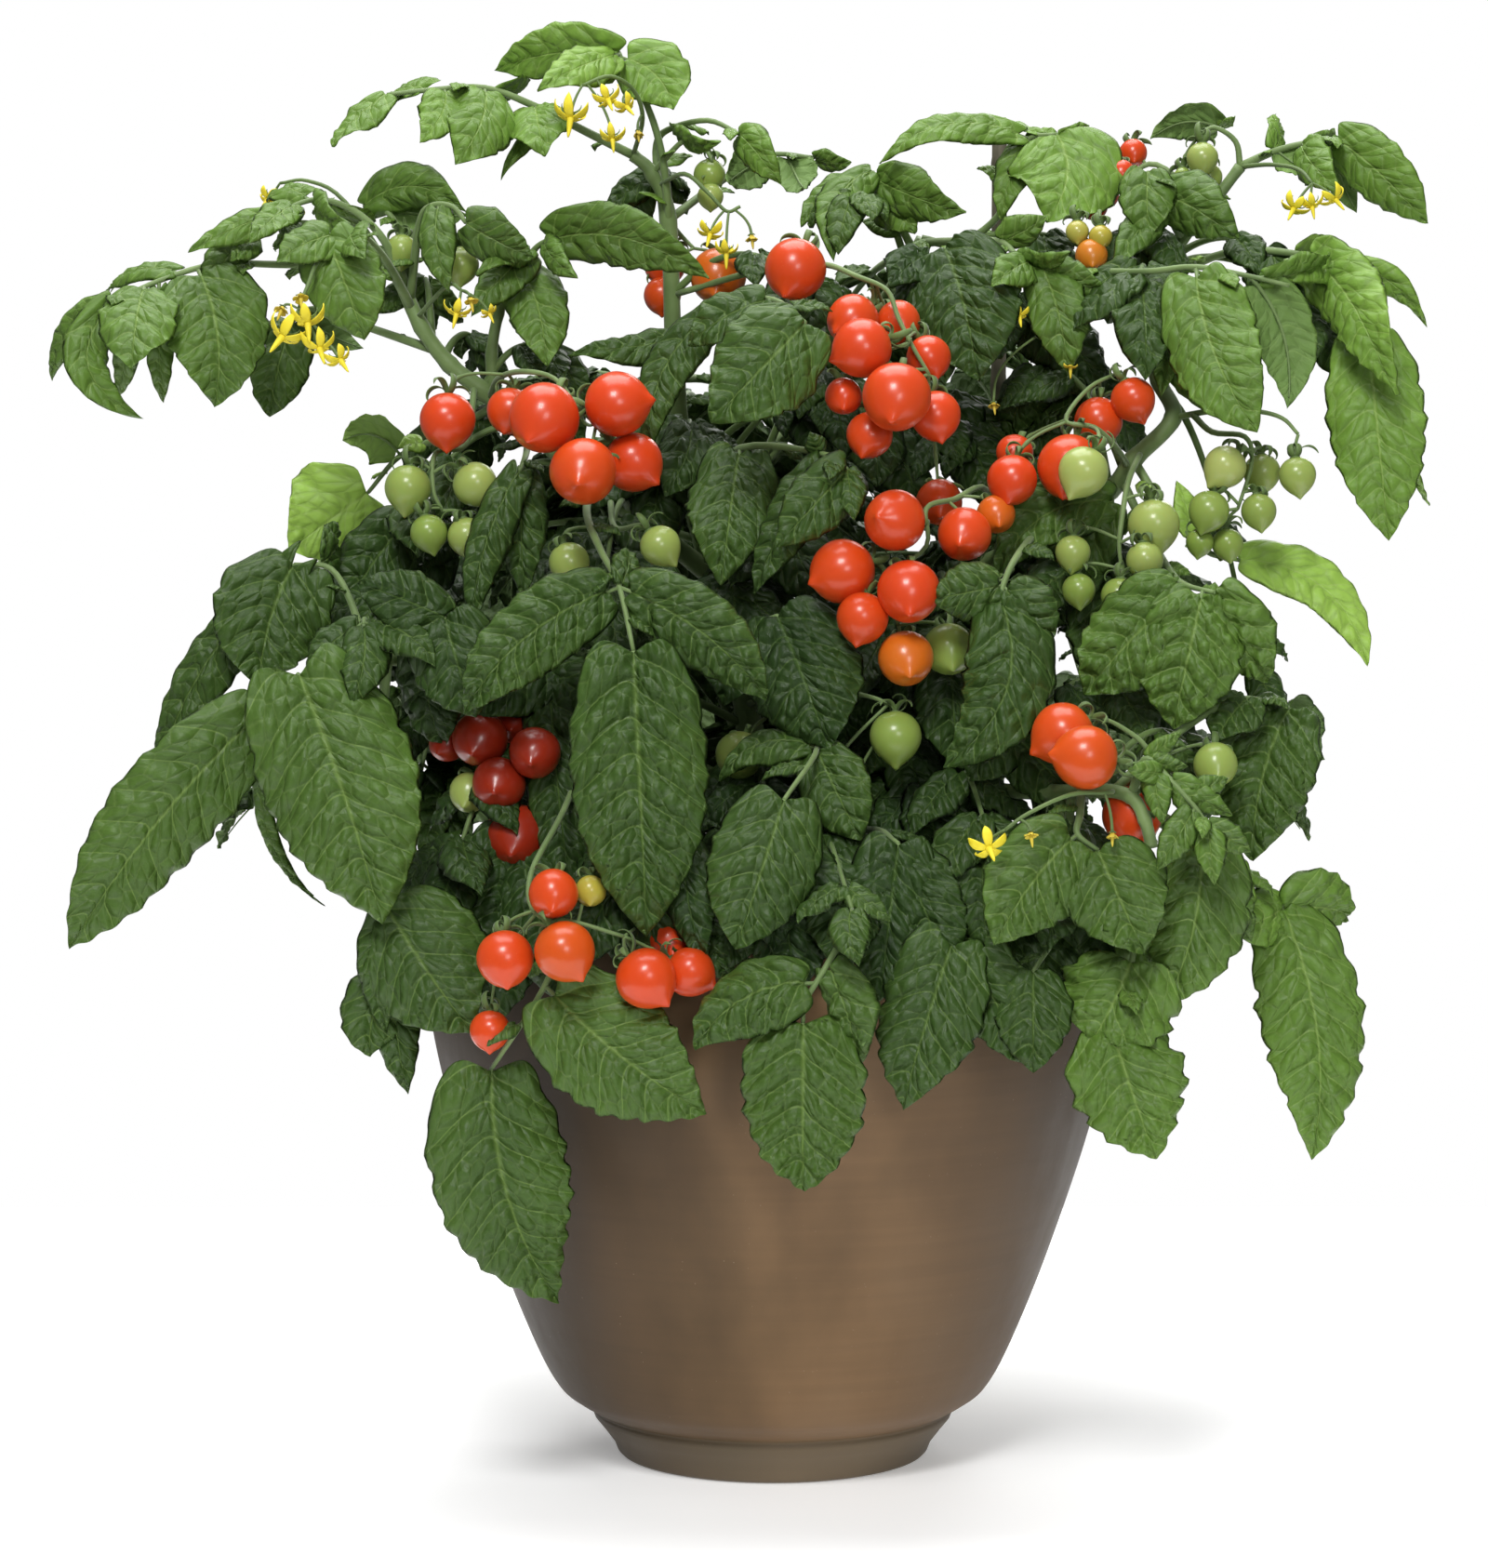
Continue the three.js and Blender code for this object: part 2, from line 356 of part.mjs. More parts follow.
// A tapered rod along a path: a closed cylinder whose rings are laid on the path, each turned on
// from the one before without a twist.
function rod(path, startRadius, endRadius, sides, grow) {
  const steps = RINGS_PER_SPAN * (path.points.length - 1);
  const geometry = new THREE.CylinderGeometry(1, 1, 1, sides, steps);
  const rings = [];
  let normal = new THREE.Vector3(0.31, 0.17, 0.94);
  for (let ring = 0; ring <= steps; ring += 1) {
    const tangent = path.getTangent(ring / steps);
    normal = normal.clone().addScaledVector(tangent, -normal.dot(tangent)).normalize();
    const binormal = new THREE.Vector3().crossVectors(tangent, normal);
    rings.push({centre: path.getPoint(ring / steps), normal, binormal});
  }
  const position = geometry.getAttribute('position');
  for (let i = 0; i < position.count; i += 1) {
    const along = 0.5 - position.getY(i);
    const {centre, normal: across, binormal} = rings[Math.round(along * steps)];
    const radius = THREE.MathUtils.lerp(startRadius, endRadius, along) + grow;
    const point = centre.clone()
      .addScaledVector(across, position.getX(i) * radius)
      .addScaledVector(binormal, position.getZ(i) * radius);
    position.setXYZ(i, point.x, point.y, point.z);
  }
  return facingOut(geometry);
}

// A leaflet: a ball with four sides and two rings, drawn out from its base to its tip, flattened
// to a blade and laid along a curved midrib. Its root reaches back into the stalk.
function leaflet(base, blade, grow) {
  const [, across, up, depth, seenWidth, turn, bow, bend] = blade;
  const tip = seen([across, up, depth]);
  const along = tip.clone().sub(base);
  const length = along.length();
  along.normalize();
  const toEye = EYE.clone().sub(base).normalize();
  const face = toEye.addScaledVector(along, -toEye.dot(along)).normalize();
  face.applyAxisAngle(along, THREE.MathUtils.degToRad(turn));
  const side = new THREE.Vector3().crossVectors(along, face);
  const middle = base.clone().lerp(tip, 0.5)
    .addScaledVector(face, 2 * bow * length)
    .addScaledVector(side, 2 * bend * length);
  const midrib = new THREE.QuadraticBezierCurve3(base, middle, tip);
  const leaving = midrib.getPoint(BLADE_STATIONS[1]).sub(base).normalize();
  const halfWidth = seenWidth * shrink(depth) / 2;
  const geometry = new THREE.SphereGeometry(1, 4, 3);
  const position = geometry.getAttribute('position');
  const point = new THREE.Vector3();
  for (let i = 0; i < position.count; i += 1) {
    const ring = Math.round(3 * Math.acos(THREE.MathUtils.clamp(position.getY(i), -1, 1)) / Math.PI);
    const ringRadius = ring === 0 || ring === 3 ? Infinity : Math.sin(ring * Math.PI / 3);
    const over = position.getX(i) / ringRadius;
    const out = position.getZ(i) / ringRadius;
    midrib.getPoint(BLADE_STATIONS[ring], point);
    if (ring === 0) point.addScaledVector(leaving, -grow - BLADE_ROOT);
    if (ring === 3) point.addScaledVector(along, grow);
    point.addScaledVector(side, over * (BLADE_WIDTHS[ring] * halfWidth + 2 * grow));
    point.addScaledVector(face, out * (LEAF_THICKNESS / 2 + grow));
    position.setXYZ(i, point.x, point.y, point.z);
  }
  return facingOut(geometry);
}

// A tomato turned about its own axis, from the pointed tip at -Y to the shoulder at +Y.
function tomato(centre, radius, tipAcross, tipUp, grow) {
  const size = radius + grow;
  const outline = [[0, -1.16], [0.5, -0.86], [0.98, -0.16], [0.84, 0.56], [0, 0.96]];
  const profile = outline.map(([r, y]) => new THREE.Vector2(r * size, y * size));
  const geometry = new THREE.LatheGeometry(profile, 6);
  const outward = Math.sqrt(Math.max(0.02, 1 - tipAcross ** 2 - tipUp ** 2));
  const toTip = new THREE.Vector3(tipAcross, -outward, tipUp).normalize();
  const turn = new THREE.Quaternion().setFromUnitVectors(new THREE.Vector3(0, -1, 0), toTip);
  geometry.applyQuaternion(turn).translate(centre.x, centre.y, centre.z);
  return {solid: toSolid(geometry), shoulder: centre.clone().addScaledVector(toTip, -0.9 * radius)};
}

// ---------------------------------------------------------------- pot, soil and cane
function turned(outline, segments) {
  const profile = outline.map(([r, z]) => new THREE.Vector2(r, z));
  return toSolid(new THREE.LatheGeometry(profile, segments).rotateX(Math.PI / 2));
}

// The pot's outer outline from its foot to its rim, as [radius, height].
const POT_OUTSIDE = [
  [FOOT_RADIUS - 3, 0], [FOOT_RADIUS, 3], [78, FOOT_HEIGHT], [86.5, 25.5], [93, 31], [101, 45],
  [112.8, 73], [124, 104], [134.4, 136], [142, 164], [147.5, 192], [POT_RIM_RADIUS, POT_HEIGHT],
];

// The wall follows the outside from the shoulder above the foot to the rim.
function potInside(clearance) {
  const wall = POT_OUTSIDE.filter(([, z]) => z > 40);
  const floor = POT_FLOOR + clearance;
  return [[0, floor], [FOOT_RADIUS, floor], ...wall.map(([r, z]) => [r - POT_WALL - clearance, z])];
}

function pot() {
  let body = turned([[0, 0], ...POT_OUTSIDE, ...potInside(0).reverse()], POT_SIDES);
  for (let i = 0; i < 3; i += 1) {
    const hole = new THREE.CylinderGeometry(DRAIN_RADIUS, DRAIN_RADIUS, 4 * POT_FLOOR, 8);
    hole.rotateX(Math.PI / 2);
    const angle = i * 2 * Math.PI / 3;
    hole.translate(DRAIN_RING * Math.cos(angle), DRAIN_RING * Math.sin(angle), 0);
    body = body.subtract(toSolid(hole));
  }
  return body;
}

function soil() {
  const side = potInside(GAP).filter(([, z]) => z < SOIL_TOP);
  const edge = POT_RIM_RADIUS - POT_WALL - 3;
  return turned([...side, [edge, SOIL_TOP - 5], [0, SOIL_TOP + 2]], POT_SIDES);
}

function cane() {
  const top = seen([97.5, CANE_TOP, 60]);
  const path = straight(new THREE.Vector3(top.x, top.y, CANE_BOTTOM), top);
  return (grow) => rod(path, CANE_RADIUS, CANE_RADIUS, 10, grow);
}

// ---------------------------------------------------------------- the plant's pieces
const stemPaths = {};
for (const [name, stem] of Object.entries(STEMS)) {
  const places = stem.path.map(seen);
  if (stem.on) places.unshift(pointAt(stemPaths[stem.on[0]], stem.on[1]));
  stemPaths[name] = pathThrough(places);
}

function stemNode(node) {
  const names = Object.keys(STEMS).filter((name) => STEMS[name].node === node);
  return (grow) => joined(names.map((name) => {
    const [start, end] = STEMS[name].radii;
    return rod(stemPaths[name], start, end, 7, grow);
  }));
}

function leafNode({on, stalk, blades}) {
  const start = pointAt(stemPaths[on[0]], on[1]);
  const path = pathThrough([start, ...stalk.map(seen)]);
  return (grow) => joined([
    rod(path, RACHIS_RADIUS + 0.3, RACHIS_RADIUS - 0.5, 4, grow),
    ...blades.map((blade) => leaflet(pointAt(path, blade[0]), blade, grow)),
  ]);
}

// A leaf on the far side: its stalk arches out along the heading and droops, with leaflets in
// pairs and one at the end.
function backLeaf([stem, number, heading, rise, length]) {
  const start = pointAt(stemPaths[stem], number);
  const turn = THREE.MathUtils.degToRad(heading);
  const lift = THREE.MathUtils.degToRad(rise);
  const outward = new THREE.Vector3(Math.cos(turn), Math.sin(turn), 0);
  const sideways = new THREE.Vector3(-Math.sin(turn), Math.cos(turn), 0);
  const place = (reach) => start.clone()
    .addScaledVector(outward, reach * length)
    .add(new THREE.Vector3(0, 0, length * (Math.tan(lift) * reach - 0.45 * reach * reach)));
  const path = pathThrough([0, 0.25, 0.5, 0.75, 1].map(place));
  const leaflets = [[1, 0, 0.55]];
  for (const reach of [0.45, 0.75]) leaflets.push([reach, 1, 0.42], [reach, -1, 0.42]);
  return (grow) => joined([
    rod(path, RACHIS_RADIUS + 0.3, RACHIS_RADIUS - 0.5, 4, grow),
    ...leaflets.map(([reach, hand, size]) => {
      const base = path.getPoint(reach);
      const tip = base.clone()
        .addScaledVector(sideways, hand * size * length)
        .addScaledVector(outward, (hand ? 0.12 : 0.5) * length)
        .add(new THREE.Vector3(0, 0, -0.3 * length));
      return flatLeaflet(base, tip, 0.5 * size * length, grow);
    }),
  ]);
}

// A leaflet between two points whose blade lies as level as it can.
function flatLeaflet(base, tip, width, grow) {
  const along = tip.clone().sub(base).normalize();
  const side = new THREE.Vector3().crossVectors(along, new THREE.Vector3(0, 0, 1)).normalize();
  const face = new THREE.Vector3().crossVectors(side, along);
  const geometry = new THREE.SphereGeometry(1, 4, 2);
  const length = tip.distanceTo(base);
  geometry.scale(width / 2 + 2 * grow, length / 2 + grow + BLADE_ROOT / 2, LEAF_THICKNESS / 2 + grow);
  const basis = new THREE.Matrix4().makeBasis(side, along, face);
  geometry.applyMatrix4(basis);
  const middle = base.clone().lerp(tip, 0.5).addScaledVector(along, -BLADE_ROOT / 2);
  geometry.translate(middle.x, middle.y, middle.z);
  return facingOut(geometry);
}

// The ring of a truss's stalks that is nearest to a fruit, clear of the stalk's own root.
function nearestRing(paths, point) {
  let best = null;
  for (const path of paths) {
    const last = path.points.length - 1;
    for (let number = 1; number <= last; number += 0.5) {
      const ring = pointAt(path, number);
      if (!best || ring.distanceTo(point) < best.distanceTo(point)) best = ring;
    }
  }
  return best;
}

function trussNode({on, stalk, fork, fruits}) {
  const start = pointAt(stemPaths[on[0]], on[1]);
  const paths = [pathThrough([start, ...stalk.map(seen)])];
  if (fork) paths.push(pathThrough([pointAt(paths[0], fork.at), ...fork.stalk.map(seen)]));
  return (grow) => {
    const pieces = paths.map((path) => rod(path, TRUSS_RADIUS + 0.3, TRUSS_RADIUS - 0.3, 4, grow));
    for (const [across, up, depth, seenRadius, tipAcross, tipUp] of fruits) {
      const radius = seenRadius * shrink(depth);
      const fruit = tomato(seen([across, up, depth]), radius, tipAcross, tipUp, grow);
      const from = nearestRing(paths, fruit.shoulder);
      const pedicel = straight(from, fruit.shoulder);
      pieces.push(fruit.solid, rod(pedicel, PEDICEL_RADIUS, PEDICEL_RADIUS, 3, grow));
    }
    return joined(pieces);
  };
}

// ---------------------------------------------------------------- colours and assembly
const CLAY = new THREE.MeshStandardMaterial({color: 0x6e5a42, roughness: 0.75, metalness: 0});
const EARTH = new THREE.MeshStandardMaterial({color: 0x2c241c, roughness: 1, metalness: 0});
const BARK = new THREE.MeshStandardMaterial({color: 0x6b6152, roughness: 0.8, metalness: 0});
const STEM = new THREE.MeshStandardMaterial({color: 0x7f9a58, roughness: 0.6, metalness: 0});
const LEAF = new THREE.MeshStandardMaterial({color: 0x55762f, roughness: 0.55, metalness: 0});
const RIPE = new THREE.MeshStandardMaterial({color: 0xdc3a1c, roughness: 0.2, metalness: 0});
const UNRIPE = new THREE.MeshStandardMaterial({color: 0xa8bf5c, roughness: 0.25, metalness: 0});

const fixed = (solid) => () => solid;

// Every piece in the order in which it keeps its full shape: a later piece gives way.
const PIECES = [
  ['pot', fixed(pot()), CLAY],
  ['main_stem', stemNode('main_stem'), STEM],
  ['cane', cane(), BARK],
  ['soil', fixed(soil()), EARTH],
  ['shoot_left', stemNode('shoot_left'), STEM],
  ['shoot_right', stemNode('shoot_right'), STEM],
  ['shoot_mid', stemNode('shoot_mid'), STEM],
  ['shoot_low_right', stemNode('shoot_low_right'), STEM],
  ['shoot_low_left', stemNode('shoot_low_left'), STEM],
];
for (const [name, truss] of Object.entries(TRUSSES)) {
  PIECES.push([name, trussNode(truss), name.includes('green') ? UNRIPE : RIPE]);
}
for (const [name, leaf] of Object.entries(LEAVES)) PIECES.push([name, leafNode(leaf), LEAF]);
for (const [name, leaf] of Object.entries(BACK_LEAVES)) PIECES.push([name, backLeaf(leaf), LEAF]);

function boxesMeet(a, b) {
  return [0, 1, 2].every((axis) => a.min[axis] <= b.max[axis] && b.min[axis] <= a.max[axis]);
}

// Cuts a piece clear of the pieces before it and keeps its largest part.
function cleared(solid, earlier) {
  let rest = solid;
  const box = solid.boundingBox();
  for (const other of earlier) {
    if (boxesMeet(box, other.boundingBox())) rest = rest.subtract(other);
  }
  const parts = rest.decompose().sort((a, b) => b.volume() - a.volume());
  return parts[0].simplify(0.12);
}

const plant = new THREE.Group();
const placed = [];
for (const [name, build, material] of PIECES) {
  const solid = cleared(build(0), placed);
  placed.push(build(GAP));
  const mesh = new THREE.Mesh(toGeometry(solid), material);
  mesh.name = name;
  plant.add(mesh);
}

export default plant;
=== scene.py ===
"""A potted tomato plant: its looks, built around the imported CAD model.

Every length and place below is in millimetres. A mesh is made in metres, in the frame of the CAD
model: +Z up, the origin under the middle of the pot's foot, the front of the plant at -Y.
"""
import math
import zlib

import bpy
import numpy as np
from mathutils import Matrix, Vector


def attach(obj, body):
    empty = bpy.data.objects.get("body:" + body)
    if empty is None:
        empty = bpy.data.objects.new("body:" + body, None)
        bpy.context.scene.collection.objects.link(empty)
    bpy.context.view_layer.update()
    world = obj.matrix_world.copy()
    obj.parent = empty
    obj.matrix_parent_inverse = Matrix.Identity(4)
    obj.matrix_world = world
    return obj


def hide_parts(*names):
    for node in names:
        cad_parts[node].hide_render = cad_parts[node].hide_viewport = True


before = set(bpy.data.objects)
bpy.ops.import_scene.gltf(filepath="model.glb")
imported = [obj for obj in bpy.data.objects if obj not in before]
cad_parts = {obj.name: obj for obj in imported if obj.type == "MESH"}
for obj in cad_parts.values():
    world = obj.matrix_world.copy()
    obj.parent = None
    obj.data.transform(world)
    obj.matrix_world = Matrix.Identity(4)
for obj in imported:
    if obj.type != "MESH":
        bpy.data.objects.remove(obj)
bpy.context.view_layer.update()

MM = 0.001
POT_HEIGHT = 238
POT_RIM_RADIUS = 150
POT_WALL = 9
POT_FLOOR = 16
FOOT_RADIUS = 68
FOOT_HEIGHT = 19
SOIL_TOP = 221
SOIL_BOTTOM = 150
CRUMBS = 420
CANE_RADIUS = 3.4
CANE_BOTTOM = 150
CANE_TOP = 563
CANE_PLACE = [97.5, CANE_TOP, 60]
LEAF_THICKNESS = 0.5
RACHIS_RADIUS = 1.5
TRUSS_RADIUS = 1.15
PEDICEL_RADIUS = 0.72

# A place is [across, up, depth]: across and up as they look from the viewpoint, on the upright
# plane through the pot's axis, and depth behind it (+) or before it (-).
EYE = np.array([-12.4, -1900.0, 430.0])
AIM = np.array([-12.4, 0.0, 290.0])
PLANE_CENTRE = np.array([-12.4, 285.6])
PLANE_RIGHT = np.array([1.0, 0.0, 0.0])
PLANE_UP = np.cross(PLANE_RIGHT, AIM - EYE) / np.linalg.norm(np.cross(PLANE_RIGHT, AIM - EYE))
PHOTO_HEIGHT_PIXELS = 1686
MM_PER_PIXEL = 0.4
HEIGHT_SEEN = PHOTO_HEIGHT_PIXELS * MM_PER_PIXEL

# A blade's grid: how far apart its rows and columns are, and the least and most of each.
ROW_STEP = 1.35
ROWS = [12, 66]
COLUMN_STEP = 1.7
COLUMNS = [8, 34]

# The looks of a leaf: tone, height of its quilting, depth of its lobes, coarseness of its grid. The tone
# is the leaf's brightness and paints light and shade: high as painted light on the lit upper leaves, low
# as painted shade on the leaves inside, behind and below.
BACK_LOOKS = [0.35, 0.6, 0.1]
FAR_LOOKS = [0.32, 0.8, 0.1, 1.3]
INNER_LOOKS = [0.12, 0.6, 0.1, 1.7]

# ------------------------------------------------------------------------------ the plant's tables
# A stem: its node, the place on its parent where it starts, its radii and its places.
STEMS = {
  "main_stem": {"node": "main_stem", "radii": [6.5, 2.5], "path": [
    [0, 180, 0], [0, 232, 0], [-5, 262, 2], [-10, 310, 8], [-22, 360, 12], [-35, 410, 15],
    [-42, 460, 14], [-45, 528, 5], [-52, 548, 0], [-60, 556, 0]]},
  "shoot_left": {"node": "shoot_left", "on": ["main_stem", 4.3], "radii": [4.3, 3.0], "path": [
    [-70, 410, -10], [-105, 438, -25], [-125, 455, -30], [-139, 466, -30], [-151, 482, -30],
    [-161, 504, -28]]},
  "shoot_left_inner": {"node": "shoot_left", "on": ["shoot_left", 2.7], "radii": [2.6, 2.1], "path": [
    [-121, 470, -30], [-118, 488, -28], [-113, 503, -25]]},
  "shoot_mid": {"node": "shoot_mid", "on": ["main_stem", 4.8], "radii": [3.4, 2.3], "path": [
    [-4, 425, 35], [28, 465, 42], [52, 500, 38], [64, 520, 30]]},
  "shoot_right": {"node": "shoot_right", "on": ["main_stem", 3.6], "radii": [4.6, 2.3], "path": [
    [30, 355, 10], [80, 375, -5], [120, 395, -30], [145, 412, -50], [155, 425, -55],
    [172, 443, -55], [166, 459, -40], [160, 480, -20], [165, 505, -5], [176, 520, 0],
    [188, 534, 0], [201, 551, 0]]},
  "shoot_low_right": {"node": "shoot_low_right", "on": ["main_stem", 1.9], "radii": [3.8, 2.4], "path": [
    [22, 278, -10], [52, 286, -20], [75, 286, -45], [95, 283, -85], [120, 282, -120],
    [140, 283, -146], [154, 280, -158], [160, 270, -162], [163, 258, -164]]},
  "shoot_low_left": {"node": "shoot_low_left", "on": ["main_stem", 1.7], "radii": [3.8, 2.4], "path": [
    [-40, 276, -40], [-80, 300, -62], [-120, 320, -72], [-150, 337, -84], [-175, 339, -98],
    [-198, 333, -112], [-209, 325, -122]]},
}

